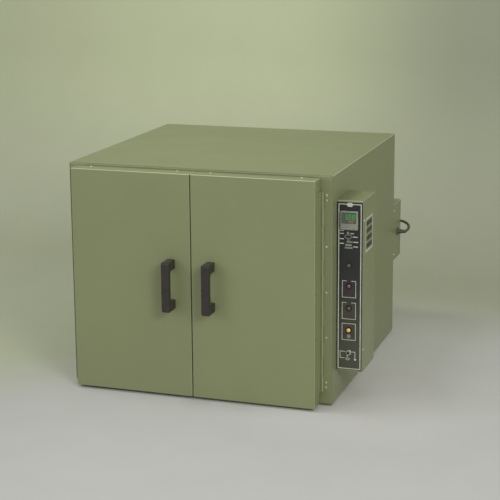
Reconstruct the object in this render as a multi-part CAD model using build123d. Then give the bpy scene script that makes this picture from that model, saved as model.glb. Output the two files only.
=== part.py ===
"""Two-door bench oven in folded sheet steel, with a control box on its right side and a blower at its back."""

from build123d import *
import math
import os

# The model is drawn from the middle of the cabinet's front face at bench level: X to the right, Y to the back,
# Z up, in millimetres. The finished pieces are then moved so that the origin lies on the bench, under the middle
# of the whole oven.

# Cabinet
cabinet_width = 838
cabinet_depth = 812
overall_height = 700
case_sheet = 1.5
case_bend = 3
case_flange = 18
foot_height = 4
foot_radius = 20
foot_inset = 50
insulated_wall = 68.5
insulated_side = 63.5
insulated_back = 67
seam = 0.2
soft_gap = 0.3

# Chamber, and the air duct behind it
duct_depth = 135
liner_sheet = 1.2
liner_corner = 4
duct_sheet = 1.2
slot_count = 9
slot_end_margin = 71.5
slot_side_margin = 55.5
slot_length = 90
slot_width = 8
inlet_radius = 66
inlet_length = 28

# Shelves and their racks
rack_depth = 10
rack_upright = 20
rack_sheet = 1.2
ledge_width = 17
ledge_lip = 5
ledge_tab = 4
ledge_count = 8
first_ledge = 40
above_last_ledge = 85
rack_setback = 30
rack_end = 34
rack_overrun = 20
rack_upright_inset = 40
shelf_ledges = (1, 5)
shelf_end_gap = 6
shelf_rod = 3
shelf_wire = 1.6
shelf_wires = 20
shelf_side_play = 3
shelf_corner = 14
shelf_seat_gap = 0.1
cross_rod = 2.4
cross_rod_inset = 6
weld_depth = 0.8

# Doors
door_thickness = 60
gasket_space = 7
door_side_margin = 35
door_top_margin = 5
door_bottom = 8
door_parting = 3
door_sheet = 1.5
door_bend = 2.5
outer_pan_depth = 45
pan_overlap = 12
edge_screw_inset = 51
inner_pan_sheet = 1.2
gasket_width = 16
gasket_reach = 22
gasket_corner = 14

# Piano hinges
hinge_below = 37
hinge_above = 40
hinge_knuckles = 12
knuckle_radius = 4.25
knuckle_clearance = 0.4
hinge_pin_radius = 2.5
pin_play = 0.05
knuckle_play = 0.6
leaf_sheet = 2
frame_leaf_width = 24
door_leaf_margin = 8.4
hinge_screw_line = 11.5
door_screw_line = 5.4
hinge_screw_margin = 28
hinge_screw_gaps = 4
hinge_screw_pair = 15.5
stagger = 13
leaf_end_margin = 6

# Screws
screw_radius = 2
screw_head_radius = 3.2
screw_head = 2
hole_play = 0.1

# Door handles
handle_length = 153
handle_width = 25
handle_projection = 53
handle_grip = 17
handle_leg = 29
handle_round = 3
handle_from_parting = 61.5
handle_middle = 358
handle_screw_depth = 16
handle_nose = 6
handle_nose_drop = 4
handle_inner_round = 9

# Door catches
catch_length = 40
catch_height = 14
catch_from_parting = 40
catch_from_top = 20
strike_sheet = 0.8
catch_gap = 0.2

# Control box
control_width = 80
control_depth = 152
control_height = 522
control_bottom = 99
control_setback = 44
control_sheet = 1.5
control_bend = 2
cover_flange = 16
cover_screw_high = 59
cover_screw_low = 69
vent_count = 4
vent_first = 18
vent_last = 26
vent_top = 5
vent_height = 44
vent_width = 3
face_sheet = 1
face_margin = 1.5
face_end_margin = 5

# What the face plate carries: the controller is set from the top of the box, the rest from its bottom
panel_offset = 1.4
controller_from_top = 58.6
reset_from_bottom = 328
lamp_from_bottom = 129
lamp_pitch = 67.5
lamp_count = 3
switch_from_bottom = 59

# Temperature controller
bezel_width = 53
bezel_height = 56.5
bezel_depth = 9
bezel_bend = 3
case_size = 45
case_depth = 96
window_width = 45
window_height = 34
window_sheet = 2
window_raise = 8
key_count = 4
key_width = 9.4
key_height = 8
key_pitch = 11
key_depth = 3
key_level = -20.5
key_proud = 0.8
key_play = 0.3
pocket_depth = 4.5

# Reset button, pilot lamps and toggle switch
reset_radius = 5.5
reset_collar = 8.5
reset_proud = 4
reset_play = 0.3
lamp_radius = 7
lamp_bezel = 9.5
lamp_bezel_depth = 3
lamp_barrel = 28
lamp_dome = 3.5
nut_radius = 8.5
nut_depth = 3
bushing_radius = 6
bushing_depth = 8
bushing_bore = 4.9
lever_length = 21
lever_neck = 1.7
lever_tip = 3.3
lever_tilt = 14
switch_width = 18
switch_depth = 26
switch_height = 30

# Back housing
housing_past_blower = 101
housing_height = 200
housing_bottom = 250
housing_sheet = 1.2
housing_bend = 2.5
bracket_leg = 16
housing_screw_margin = 22
housing_screw_line = 8
grille_slots = 7
grille_pitch = 12
grille_length = 90
grille_width = 5

# Blower
shaft_radius = 6
shaft_play = 0.05
sleeve_radius = 15
sleeve_bore = 11
wheel_radius = 110
wheel_eye = 72
wheel_depth = 56
wheel_sheet = 1.6
wheel_running_gap = 6
blade_count = 12
blade_inner = 62
blade_sweep = 26
hub_radius = 14
hub_length = 30
motor_radius = 50
motor_length = 78
motor_air = 18
motor_boss = 18
motor_post = 14
motor_plate = 112
motor_plate_sheet = 3
post_radius = 5
post_spacing = 88
shaft_grip = 45

# Ring heaters
heater_radius = 140
heater_tube = 4.2
heater_bend = 16
heater_count = 2
heater_first = 24
heater_pitch = 26
heater_gap = 12
heater_gap_step = 7
heater_tail = 22

# Probes, conduit and the electrical pieces in the boxes
probe_radius = 2.5
probe_reach = 36
probe_nut = 7
probe_nut_height = 6
probe_from_back = 26
probe_pitch = 30
probe_from_ceiling = 26.5
conduit_radius = 7
conduit_bend = 24
conduit_stub = 14
conduit_from_back = 18
contactor_depth = 54
contactor_reach = 46
contactor_height = 74
contactor_level = 157
contactor_from_back = 14
strip_reach = 22
strip_depth = 30
strip_height = 96
strip_level = 51
strip_from_back = 24
strip_ribs = 9
rib_sheet = 2
mains_length = 70
mains_depth = 24
mains_height = 26
mains_from_side = 119
mains_below_gland = 40

# Supply cord and its gland
cord_radius = 4.5
gland_below_middle = 5
gland_flange = 14
gland_flange_depth = 3
gland_nose = 10
gland_thread = 9
gland_inside = 12
gland_nut = 15
gland_nut_depth = 5
coil_radius = 56
coil_centre_x = 190
coil_centre_y = 892
coil_width = 24
coil_height = 18
coil_round = 3
coil_tail = 72
tail_level = cord_radius + 0.3
plug_length = 40
plug_width = 30
plug_height = 26
plug_round = 5
plug_neck = 24
blade_length = 18
blade_height = 6.4
blade_sheet = 1.6
blade_line = 6.3
blade_above = 3
earth_pin = 2.4
earth_below = 7

# Places worked out from the sizes above
half_width = cabinet_width / 2
floor_level = foot_height + case_sheet
chamber_bottom = foot_height + insulated_wall
chamber_top = overall_height - insulated_wall
chamber_height = chamber_top - chamber_bottom
half_chamber = half_width - insulated_side
liner_back = cabinet_depth - insulated_back
chamber_depth = liner_back - duct_depth
shelf_depth = chamber_depth - rack_setback - rack_end - shelf_end_gap
ledge_pitch = (chamber_height - first_ledge - above_last_ledge) / (ledge_count - 1)
slot_pitch = (chamber_height - 2 * slot_end_margin) / (slot_count - 1)
slot_column = half_chamber - slot_side_margin - slot_length / 2
door_back = -gasket_space
door_front = door_back - door_thickness
door_edge = half_width - door_side_margin
door_inner_edge = door_parting / 2
door_top = overall_height - door_top_margin
hinge_x = door_edge + knuckle_radius + knuckle_clearance
hinge_y = -(knuckle_radius + knuckle_clearance)
hinge_bottom = door_bottom + hinge_below
hinge_top = door_top - hinge_above
hinge_length = hinge_top - hinge_bottom
hinge_middle = (hinge_top + hinge_bottom) / 2
hinge_screw_pitch = (hinge_length - 2 * hinge_screw_margin) / hinge_screw_gaps
control_right = half_width + control_width
control_top = control_bottom + control_height
control_back = control_setback + control_depth
vent_pitch = (control_depth - vent_first - vent_last) / (vent_count - 1)
face_front = control_setback - face_sheet
panel_x = half_width + control_width / 2 - panel_offset
controller_level = control_top - controller_from_top
reset_level = control_bottom + reset_from_bottom
lamp_levels = [control_bottom + lamp_from_bottom + k * lamp_pitch for k in range(lamp_count)]
switch_level = control_bottom + switch_from_bottom
probe_level = chamber_top - probe_from_ceiling
housing_left = -housing_past_blower
housing_depth = motor_post + motor_plate_sheet + motor_length + motor_air
housing_back = cabinet_depth + housing_depth
housing_top = housing_bottom + housing_height
blower_level = (housing_bottom + housing_top) / 2
gland_line = housing_depth / 2
gland_level = blower_level - gland_below_middle
middle_x = (control_right + screw_head - half_width) / 2
middle_y = (housing_back + door_front - handle_projection) / 2


def block(x, y, z):
    """A box between two X values, two Y values and two Z values."""
    size = [high - low for low, high in (x, y, z)]
    middle = [(high + low) / 2 for low, high in (x, y, z)]
    return Pos(*middle) * Box(*size)


def bar(start, end, radius, sides=0):
    """A bar from one point to another: round, or with that number of sides."""
    start = Vector(*start)
    along = Vector(*end) - start
    if sides:
        straight = extrude(RegularPolygon(radius, sides), amount=along.length)
    else:
        straight = Cylinder(radius, along.length, align=(Align.CENTER, Align.CENTER, Align.MIN))
    return Plane(origin=start, z_dir=along) * straight


def turned(points, origin, direction):
    """A turned piece: (radius, height) points revolved about the line through origin along direction."""
    outline = make_face(Polyline(*points, close=True))
    return Plane(origin=origin, z_dir=direction) * revolve(Plane.XZ * outline, Axis.Z)


def pan(x, y, z, sheet, bend, mouth):
    """A folded sheet pan that is open at its low or its high Y end, with rounded folds."""
    closed = 0 if mouth == "back" else -1
    outer = block(x, y, z)
    folds = outer.faces().sort_by(Axis.Y)[closed].edges() + outer.edges().filter_by(Axis.Y)
    outer = fillet(folds, bend)
    inside_y = (y[0] + sheet, y[1] + 1) if mouth == "back" else (y[0] - 1, y[1] - sheet)
    inner = block((x[0] + sheet, x[1] - sheet), inside_y, (z[0] + sheet, z[1] - sheet))
    folds = inner.faces().sort_by(Axis.Y)[closed].edges() + inner.edges().filter_by(Axis.Y)
    return outer - fillet(folds, bend - sheet)


def mirrored(shape):
    """The same piece on the other side of the cabinet."""
    return mirror(shape, about=Plane.YZ)


def save(name, *shapes):
    """Moves the shapes to the oven's own origin and writes them as one node."""
    placed = [Pos(-middle_x, -middle_y, 0) * shape for shape in shapes]
    solids = [solid for shape in placed for solid in shape.solids()]
    export_step(solids[0] if len(solids) == 1 else Compound(children=solids), f"parts/{name}.step")


def screw(place, direction, grip):
    """A pan-head screw: its head stands on place, and its shank goes against direction through the grip."""
    head_edge = screw_head_radius * 0.72
    points = [(0, -grip), (screw_radius, -grip), (screw_radius, 0), (screw_head_radius, 0),
              (screw_head_radius, screw_head * 0.45), (head_edge, screw_head), (0, screw_head)]
    return turned(points, place, direction)


def screw_hole(place, direction, depth):
    """The clearance hole for a screw's shank, a little longer than depth each way."""
    radius = screw_radius + hole_play
    along = Vector(*direction)
    start = Vector(*place) + along
    return bar(start, start - along * (depth + 2), radius)


# Cabinet

def conduit_path():
    """From the control box through the side wall, and along it into the back housing."""
    lane = (half_width - case_sheet + half_chamber + liner_sheet) / 2
    level = blower_level
    entry = control_back - conduit_from_back
    start = (half_width + control_sheet + conduit_stub, entry, level)
    return FilletPolyline(start, (lane, entry, level), (lane, cabinet_depth + conduit_stub, level),
                          radius=conduit_bend)


def conduit(radius):
    path = conduit_path()
    return sweep(Plane(origin=path @ 0, z_dir=path % 0) * Circle(radius), path=path)


def probe_places():
    return [(control_back - probe_from_back - k * probe_pitch, probe_level) for k in range(2)]


def probe_holes(radius):
    """Bores through the right wall for both probes."""
    reach = (half_chamber - 10, half_width + control_sheet + 5)
    return [bar((reach[0], y, z), (reach[1], y, z), radius) for y, z in probe_places()]


def back_wall_holes(radius_play):
    """Bores through the back wall for the shaft sleeve and the heater legs."""
    reach = (liner_back - 5, cabinet_depth + 5)
    sleeve = bar((0, reach[0], blower_level), (0, reach[1], blower_level), sleeve_radius + radius_play)
    legs = [bar((x, reach[0], z), (x, reach[1], z), heater_tube + radius_play)
            for k in range(heater_count) for x, z in heater_ends(k)]
    return [sleeve] + legs


def outer_case():
    """The top and both sides, folded from one sheet."""
    height = overall_height - floor_level
    outside = Pos(0, floor_level + height / 2) * Rectangle(cabinet_width, height)
    outside = fillet(outside.vertices().sort_by(Axis.Y)[-2:], case_bend)
    inside = Pos(0, floor_level + (height - case_sheet) / 2 - 1)
    inside *= Rectangle(cabinet_width - 2 * case_sheet, height - case_sheet + 2)
    inside = fillet(inside.vertices().sort_by(Axis.Y)[-2:], case_bend - case_sheet)
    case = extrude(Plane.XZ * (outside - inside), amount=cabinet_depth, dir=(0, 1, 0))
    for hole in probe_holes(probe_radius + seam):
        case -= hole
    return case - conduit(conduit_radius + seam)


def end_pan(y, mouth, opening=None):
    """A face or back pan that fits inside the case's folded sheet."""
    inset = case_sheet + seam
    low = floor_level + seam
    shape = pan((inset - half_width, half_width - inset), y, (low, overall_height - inset),
                case_sheet, case_bend - 0.5, mouth)
    return shape - opening if opening else shape


def front_frame():
    mouth = block((-half_chamber, half_chamber), (-5, 5), (chamber_bottom, chamber_top))
    frame = end_pan((0, case_flange), "back", mouth)
    for place in frame_screw_places():
        for x in (-place[0], place[0]):
            frame -= screw_hole((x, 0, place[1]), (0, -1, 0), case_sheet)
    return frame


def back_panel():
    panel = end_pan((cabinet_depth - case_flange, cabinet_depth), "front")
    for hole in back_wall_holes(seam):
        panel -= hole
    return panel - conduit(conduit_radius + seam)


def base_pan():
    """The bottom sheet, with turned-up edges inside the case."""
    base = block((-half_width, half_width), (0, cabinet_depth), (foot_height, floor_level))
    inner = half_width - case_sheet - seam
    edge_y = (case_flange + seam, cabinet_depth - case_flange - seam)
    edge_z = (foot_height, floor_level + case_flange)
    for side in (-1, 1):
        edges = sorted((side * inner, side * (inner - case_sheet)))
        base += block(edges, edge_y, edge_z)
    return base


def feet():
    """Low round pads with a rounded rim."""
    rim = foot_radius - 2
    points = [(0, 0), (rim, 0), (foot_radius, 1.5), (foot_radius, foot_height), (0, foot_height)]
    return [turned(points, (x, y, 0), (0, 0, 1))
            for x in (foot_inset - half_width, half_width - foot_inset)
            for y in (foot_inset, cabinet_depth - foot_inset)]


def insulation():
    """The mineral wool between the case and the liner, open at the front."""
    inset = 2 * case_sheet + seam + soft_gap
    wrap = liner_sheet + soft_gap
    outer = block((inset - half_width, half_width - inset),
                  (case_sheet + soft_gap, cabinet_depth - case_sheet - soft_gap),
                  (floor_level + case_sheet + seam + soft_gap, overall_height - inset))
    hollow = block((-half_chamber - wrap, half_chamber + wrap), (-1, liner_back + wrap),
                   (chamber_bottom - wrap, chamber_top + wrap))
    wool = fillet(outer.edges(), 1) - hollow
    for hole in back_wall_holes(soft_gap) + probe_holes(probe_radius + soft_gap):
        wool -= hole
    return wool - conduit(conduit_radius + soft_gap)


def chamber_liner():
    """The inner box, open at the front, with rounded folds."""
    t = liner_sheet
    liner = pan((-half_chamber - t, half_chamber + t), (case_sheet, liner_back + t),
                (chamber_bottom - t, chamber_top + t), t, liner_corner, "front")
    for hole in back_wall_holes(seam) + probe_holes(probe_radius + seam):
        liner -= hole
    return liner


# Inside the chamber

def duct_wall():
    """The wall in front of the blower: a pan with air slots on both sides and a bell-mouthed inlet."""
    inset = soft_gap
    wall = pan((inset - half_chamber, half_chamber - inset), (chamber_depth, chamber_depth + case_flange),
               (chamber_bottom + inset, chamber_top - inset), duct_sheet, liner_corner, "back")
    reach = (chamber_depth - 1, chamber_depth + duct_sheet + 1)
    for side in (-1, 1):
        for k in range(slot_count):
            z = chamber_bottom + slot_end_margin + k * slot_pitch
            x = side * slot_column
            wall -= block((x - slot_length / 2, x + slot_length / 2), reach,
                          (z - slot_width / 2, z + slot_width / 2))
    lip = inlet_radius + duct_sheet
    wall -= bar((0, reach[0], blower_level), (0, reach[1], blower_level), lip + 10)
    flare = [(lip + 12, 0), (lip + 12, duct_sheet), (lip + 5, 2 * duct_sheet), (lip, 9), (lip, inlet_length),
             (inlet_radius, inlet_length), (inlet_radius, 8), (lip + 4, 0)]
    return wall + turned(flare, (0, chamber_depth, blower_level), (0, 1, 0))


def ledge_top(index):
    return chamber_bottom + first_ledge + index * ledge_pitch


def shelf_rack():
    """The right-hand rack: two channel uprights that carry a ladder of lipped ledges."""
    outer = half_chamber - soft_gap
    inner = outer - rack_depth
    edge = inner - ledge_width
    low = ledge_top(0) - rack_overrun
    high = ledge_top(ledge_count - 1) + rack_overrun
    front = rack_setback
    back = chamber_depth - rack_end
    rack = None
    for y in (front + rack_upright_inset, back - rack_upright_inset - rack_upright):
        upright = block((inner, outer), (y, y + rack_upright), (low, high))
        upright -= block((inner + rack_sheet, outer + 1), (y + rack_sheet, y + rack_upright - rack_sheet),
                         (low - 1, high + 1))
        rack = upright if rack is None else rack + upright
    for k in range(ledge_count):
        top = ledge_top(k)
        lip = top - ledge_lip
        tab = lip - ledge_tab
        outline = Polyline((inner + rack_sheet, top), (edge, top), (edge, lip), (edge + rack_sheet, lip),
                           (edge + rack_sheet, top - rack_sheet), (inner, top - rack_sheet), (inner, tab),
                           (inner + rack_sheet, tab), close=True)
        ledge = extrude(Plane.XZ * make_face(outline), amount=back - front, dir=(0, 1, 0))
        rack += Pos(0, front, 0) * ledge
    return rack


def wire_shelf(index):
    """A rounded rod frame with wires from front to back and a cross rod welded below them."""
    half = half_chamber - soft_gap - rack_depth - shelf_side_play - shelf_rod
    front = rack_setback + shelf_end_gap + shelf_rod
    depth = shelf_depth - 2 * shelf_rod
    level = ledge_top(index) + shelf_rod + shelf_seat_gap
    path = Plane(origin=(0, front + depth / 2, level)) * RectangleRounded(2 * half, depth, shelf_corner)
    path = path.face().outer_wire()
    shelf = sweep(Plane(origin=path @ 0, z_dir=path % 0) * Circle(shelf_rod), path=path)
    pitch = 2 * half / (shelf_wires + 1)
    for k in range(shelf_wires):
        x = (k + 1) * pitch - half
        shelf += bar((x, front, level), (x, front + depth, level), shelf_wire, 6)
    middle = front + depth / 2
    drop = level - shelf_wire - cross_rod + weld_depth
    inside = half - ledge_width - cross_rod_inset
    return shelf + bar((-inside, middle, drop), (inside, middle, drop), cross_rod, 8)


def heater_ends(k):
    """X and Z of the legs of ring element k: the second ring's gap is wider, so that all four legs are apart."""
    angle = math.radians(heater_gap + k * heater_gap_step) + heater_bend / heater_radius
    reach_x = heater_radius * math.cos(angle) + heater_bend * math.sin(angle)
    reach_z = heater_radius * math.sin(angle) - heater_bend * math.cos(angle)
    return [(reach_x, blower_level + side * reach_z) for side in (1, -1)]


def heater_element(k):
    """One ring element: an open ring, and two legs bent back from its ends by a quarter turn."""
    y = chamber_depth + inlet_length + heater_first + k * heater_pitch
    gap = heater_gap + k * heater_gap_step
    trim = math.degrees(heater_bend / heater_radius)
    centre = (0, y, blower_level)
    section = Plane.XY * Pos(heater_radius, 0) * Circle(heater_tube)
    ring = revolve(section, Axis.Y, 360 - 2 * (gap + trim))
    element = Pos(*centre) * Rot(0, -(gap + trim), 0) * ring
    angle = math.radians(gap + trim)
    for side in (1, -1):
        end = Vector(heater_radius * math.cos(angle), y, blower_level + side * heater_radius * math.sin(angle))
        ahead = Vector(math.sin(angle), 0, -side * math.cos(angle))
        pivot = end + Vector(0, heater_bend, 0)
        turn_axis = Axis(pivot, ahead.cross(Vector(0, 1, 0)))
        bend = revolve(Plane(origin=end, z_dir=ahead) * Circle(heater_tube), turn_axis, 90)
        start = pivot + ahead * heater_bend
        leg = bar(start, (start.X, cabinet_depth + heater_tail, start.Z), heater_tube)
        element = element + bend + leg
    return element


# Doors and hinges

def hinge_z(k):
    return hinge_bottom + k * hinge_length / hinge_knuckles


def frame_screw_places():
    """X and Z of the screws in the right frame leaf: pairs at both ends and single ones between."""
    levels = [hinge_bottom + hinge_screw_margin + k * hinge_screw_pitch for k in range(hinge_screw_gaps + 1)]
    levels += [levels[0] - hinge_screw_pair, levels[-1] + hinge_screw_pair]
    return [(hinge_x + hinge_screw_line, z) for z in levels]


def door_screw_places():
    """Y and Z of the screws in the right door leaf, a little above those in the frame leaf."""
    highest = hinge_top - leaf_end_margin
    y = door_front + door_leaf_margin + door_screw_line
    return [(y, min(z + stagger, highest)) for _, z in frame_screw_places()]


def barrel(k):
    low = hinge_z(k) + knuckle_play / 2
    high = hinge_z(k + 1) - knuckle_play / 2
    return bar((hinge_x, hinge_y, low), (hinge_x, hinge_y, high), knuckle_radius)


def leaf(first_knuckle, plate, notch):
    """One leaf: its plate is notched for the other leaf's knuckles and carries its own."""
    span = (hinge_bottom, hinge_bottom + hinge_length)
    body = block(plate[0], plate[1], span)
    for k in range(1 - first_knuckle, hinge_knuckles, 2):
        body -= block(notch[0], notch[1], (hinge_z(k), hinge_z(k + 1)))
    for k in range(first_knuckle, hinge_knuckles, 2):
        body += barrel(k)
    bore = hinge_pin_radius + pin_play
    return body - bar((hinge_x, hinge_y, span[0] - 1), (hinge_x, hinge_y, span[1] + 1), bore)


def frame_leaf():
    reach = knuckle_radius + knuckle_play
    shape = leaf(0, ((hinge_x, hinge_x + frame_leaf_width), (-leaf_sheet, 0)),
                 ((hinge_x - 1, hinge_x + reach), (-leaf_sheet - 1, 1)))
    for x, z in frame_screw_places():
        shape -= screw_hole((x, -leaf_sheet, z), (0, -1, 0), leaf_sheet)
    return shape


def door_leaf():
    reach = knuckle_radius + knuckle_play
    shape = leaf(1, ((door_edge, door_edge + leaf_sheet), (door_front + door_leaf_margin, hinge_y)),
                 ((door_edge - 1, door_edge + leaf_sheet + 1), (hinge_y - reach, hinge_y + 1)))
    for y, z in door_screw_places():
        shape -= screw_hole((door_edge + leaf_sheet, y, z), (1, 0, 0), leaf_sheet)
    return shape


def hinge_pin():
    low = hinge_bottom + 0.5
    return bar((hinge_x, hinge_y, low), (hinge_x, hinge_y, hinge_bottom + hinge_length - 0.5), hinge_pin_radius)


def frame_leaf_screws():
    return [screw((x, -leaf_sheet, z), (0, -1, 0), leaf_sheet + case_sheet) for x, z in frame_screw_places()]


def door_leaf_screws():
    return [screw((door_edge + leaf_sheet, y, z), (1, 0, 0), leaf_sheet + door_sheet)
            for y, z in door_screw_places()]


def edge_screw_places():
    """X places of the screws along a door's top and bottom edges, and their Y."""
    y = door_front + outer_pan_depth - pan_overlap / 2
    return [(x, y) for x in (door_inner_edge + edge_screw_inset, door_edge - edge_screw_inset)]


def edge_screws():
    grip = door_sheet + seam + inner_pan_sheet
    screws = []
    for x, y in edge_screw_places():
        screws.append(screw((x, y, door_top), (0, 0, 1), grip))
        screws.append(screw((x, y, door_bottom), (0, 0, -1), grip))
    return screws


def handle_screw_places():
    x = door_inner_edge + handle_from_parting
    reach = (handle_length - handle_leg) / 2
    return [(x, handle_middle + side * reach) for side in (-1, 1)]


def outer_pan():
    """The door's painted front: a pan that is open at the back."""
    shape = pan((door_inner_edge, door_edge), (door_front, door_front + outer_pan_depth),
                (door_bottom, door_top), door_sheet, door_bend, "back")
    depth = door_sheet
    for x, y in edge_screw_places():
        shape -= screw_hole((x, y, door_top), (0, 0, 1), depth)
        shape -= screw_hole((x, y, door_bottom), (0, 0, -1), depth)
    for y, z in door_screw_places():
        shape -= screw_hole((door_edge, y, z), (1, 0, 0), depth)
    for x, z in handle_screw_places():
        shape -= screw_hole((x, door_front, z), (0, -1, 0), depth)
    return shape


def inner_pan():
    """The door's back: a pan whose edges slide into the outer pan."""
    inset = door_sheet + seam
    low_y = door_front + outer_pan_depth - pan_overlap
    shape = pan((door_inner_edge + inset, door_edge - inset), (low_y, door_back),
                (door_bottom + inset, door_top - inset), inner_pan_sheet, door_bend, "front")
    for x, y in edge_screw_places():
        shape -= screw_hole((x, y, door_top), (0, 0, 1), inset + inner_pan_sheet)
        shape -= screw_hole((x, y, door_bottom), (0, 0, -1), inset + inner_pan_sheet)
    return shape + catch_strike()


def door_core():
    """The mineral wool inside a door."""
    inset = door_sheet + seam + inner_pan_sheet + soft_gap + 1
    core = block((door_inner_edge + inset, door_edge - inset),
                 (door_front + door_sheet + soft_gap, door_back - inner_pan_sheet - soft_gap),
                 (door_bottom + inset, door_top - inset))
    start = door_front + door_sheet
    for x, z in handle_screw_places():
        core -= bar((x, start, z), (x, start + screw_head + 2 * soft_gap, z), screw_head_radius + soft_gap)
    return core


def door_gasket():
    """A soft ring on the door's back: it closes on the frame, and along the parting on the other door's ring."""
    low_x = soft_gap
    high_x = half_chamber + gasket_reach
    low_z = chamber_bottom - gasket_reach
    high_z = chamber_top + gasket_reach
    width = high_x - low_x
    height = high_z - low_z
    ring = RectangleRounded(width, height, gasket_corner)
    ring -= RectangleRounded(width - 2 * gasket_width, height - 2 * gasket_width, gasket_corner / 3)
    ring = Pos((low_x + high_x) / 2, (low_z + high_z) / 2) * ring
    seal = extrude(Plane.XZ * ring, amount=gasket_space - soft_gap, dir=(0, 1, 0))
    seal = fillet(seal.faces().sort_by(Axis.Y)[-1].edges(), gasket_space * 0.5)
    return Pos(0, door_back, 0) * seal


def handle():
    """A moulded bail pull: two legs and a grip, with rounded rims."""
    half = handle_length / 2
    front = -handle_projection
    shoulder = front + handle_nose_drop
    outline = Polyline((0, half), (shoulder, half), (front, half - handle_nose), (front, handle_nose - half),
                       (shoulder, -half), (0, -half), close=True)
    reach = handle_projection - handle_grip
    gap = Pos(-reach / 2, 0) * Rectangle(reach, handle_length - 2 * handle_leg)
    gap = fillet(gap.vertices().sort_by(Axis.X)[:2], handle_inner_round)
    body = extrude(Plane.YZ * (make_face(outline) - gap), amount=handle_width / 2, both=True)
    sides = body.faces().sort_by(Axis.X)
    rims = sides[0].edges() + sides[-1].edges()
    body = fillet(rims.filter_by_position(Axis.Y, front - 1, -seam), handle_round)
    body = Pos(door_inner_edge + handle_from_parting, door_front, handle_middle) * body
    for x, z in handle_screw_places():
        body -= bar((x, door_front + 1, z), (x, door_front - handle_screw_depth - 1, z), screw_radius + hole_play)
    return body


def handle_screws():
    """Screws from inside the door into the handle's legs."""
    return [screw((x, door_front + door_sheet, z), (0, 1, 0), door_sheet + handle_screw_depth)
            for x, z in handle_screw_places()]


def door_catch():
    """A magnetic catch on the frame, near the doors' meeting edge."""
    x = door_inner_edge + catch_from_parting
    z = door_top - catch_from_top
    depth = gasket_space - strike_sheet - catch_gap
    body = block((x - catch_length / 2, x + catch_length / 2), (-depth, 0),
                 (z - catch_height / 2, z + catch_height / 2))
    return fillet(body.edges().filter_by(Axis.Y), 2)


def catch_strike():
    """The steel plate, welded to the door's back, that the catch holds."""
    x = door_inner_edge + catch_from_parting
    z = door_top - catch_from_top
    plate = block((x - catch_length / 2 + 2, x + catch_length / 2 - 2), (door_back, door_back + strike_sheet),
                  (z - catch_height / 2 + 1, z + catch_height / 2 - 1))
    return fillet(plate.edges().filter_by(Axis.Y), 2)


# Control box

def panel_holes(depth_y):
    """The cut-outs in the face plate and the chassis behind it."""
    y0, y1 = depth_y
    side = case_size / 2 + 0.5
    holes = [block((panel_x - side, panel_x + side), (y0, y1), (controller_level - side, controller_level + side))]
    holes.append(bar((panel_x, y0, reset_level), (panel_x, y1, reset_level), reset_radius + 1.5))
    for z in lamp_levels:
        holes.append(bar((panel_x, y0, z), (panel_x, y1, z), lamp_radius + seam))
    holes.append(bar((panel_x, y0, switch_level), (panel_x, y1, switch_level), bushing_radius + seam))
    return holes


def control_chassis():
    """The control box's front, ends and wall plate, in one folded piece with a narrow flange at its right."""
    t = control_sheet
    right = control_right - t - seam
    back = control_back - t - seam
    shape = pan((half_width, right), (control_setback, back), (control_bottom, control_top), t, control_bend, "back")
    shape -= block((right - t - 1, right + 1), (control_setback + cover_flange, back + 1),
                   (control_bottom + t + 1, control_top - t - 1))
    for hole in panel_holes((control_setback - 1, control_setback + t + 1)):
        shape -= hole
    for hole in probe_holes(probe_radius + seam):
        shape -= hole
    for z in cover_screw_levels():
        shape -= screw_hole((control_right, cover_screw_y(), z), (1, 0, 0), 2 * t + seam)
    return shape - conduit(conduit_radius + seam)


def cover_screw_levels():
    return (control_bottom + cover_screw_low, control_top - cover_screw_high)


def cover_screw_y():
    return control_setback + cover_flange / 2


def control_cover():
    """The L-shaped cover over the control box's right side and back, with a row of tall vents."""
    t = control_sheet
    outline = Polyline((control_right - t, control_setback), (control_right, control_setback),
                       (control_right, control_back), (half_width, control_back),
                       (half_width, control_back - t), (control_right - t, control_back - t), close=True)
    face = make_face(outline)
    corner = [v for v in face.vertices() if abs(v.X - control_right) < 0.01 and abs(v.Y - control_back) < 0.01]
    face = fillet(corner, control_bend)
    cover = Pos(0, 0, control_bottom) * extrude(face, amount=control_height)
    top = control_top - vent_top
    for k in range(vent_count):
        y = control_setback + vent_first + k * vent_pitch
        cover -= block((control_right - t - 1, control_right + 1), (y, y + vent_width), (top - vent_height, top))
    for z in cover_screw_levels():
        cover -= screw_hole((control_right, cover_screw_y(), z), (1, 0, 0), t)
    return cover


def control_cover_screws():
    grip = 2 * control_sheet + seam
    return [screw((control_right, cover_screw_y(), z), (1, 0, 0), grip) for z in cover_screw_levels()]


def face_plate():
    """The black plate on the control box's front."""
    plate = block((half_width + face_margin, control_right - face_margin), (face_front, control_setback),
                  (control_bottom + face_end_margin, control_top - face_end_margin))
    plate = fillet(plate.edges().filter_by(Axis.Y), 1.5)
    for hole in panel_holes((face_front - 1, control_setback + 1)):
        plate -= hole
    return plate


def key_places():
    return [panel_x + (k - (key_count - 1) / 2) * key_pitch for k in range(key_count)]


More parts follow.
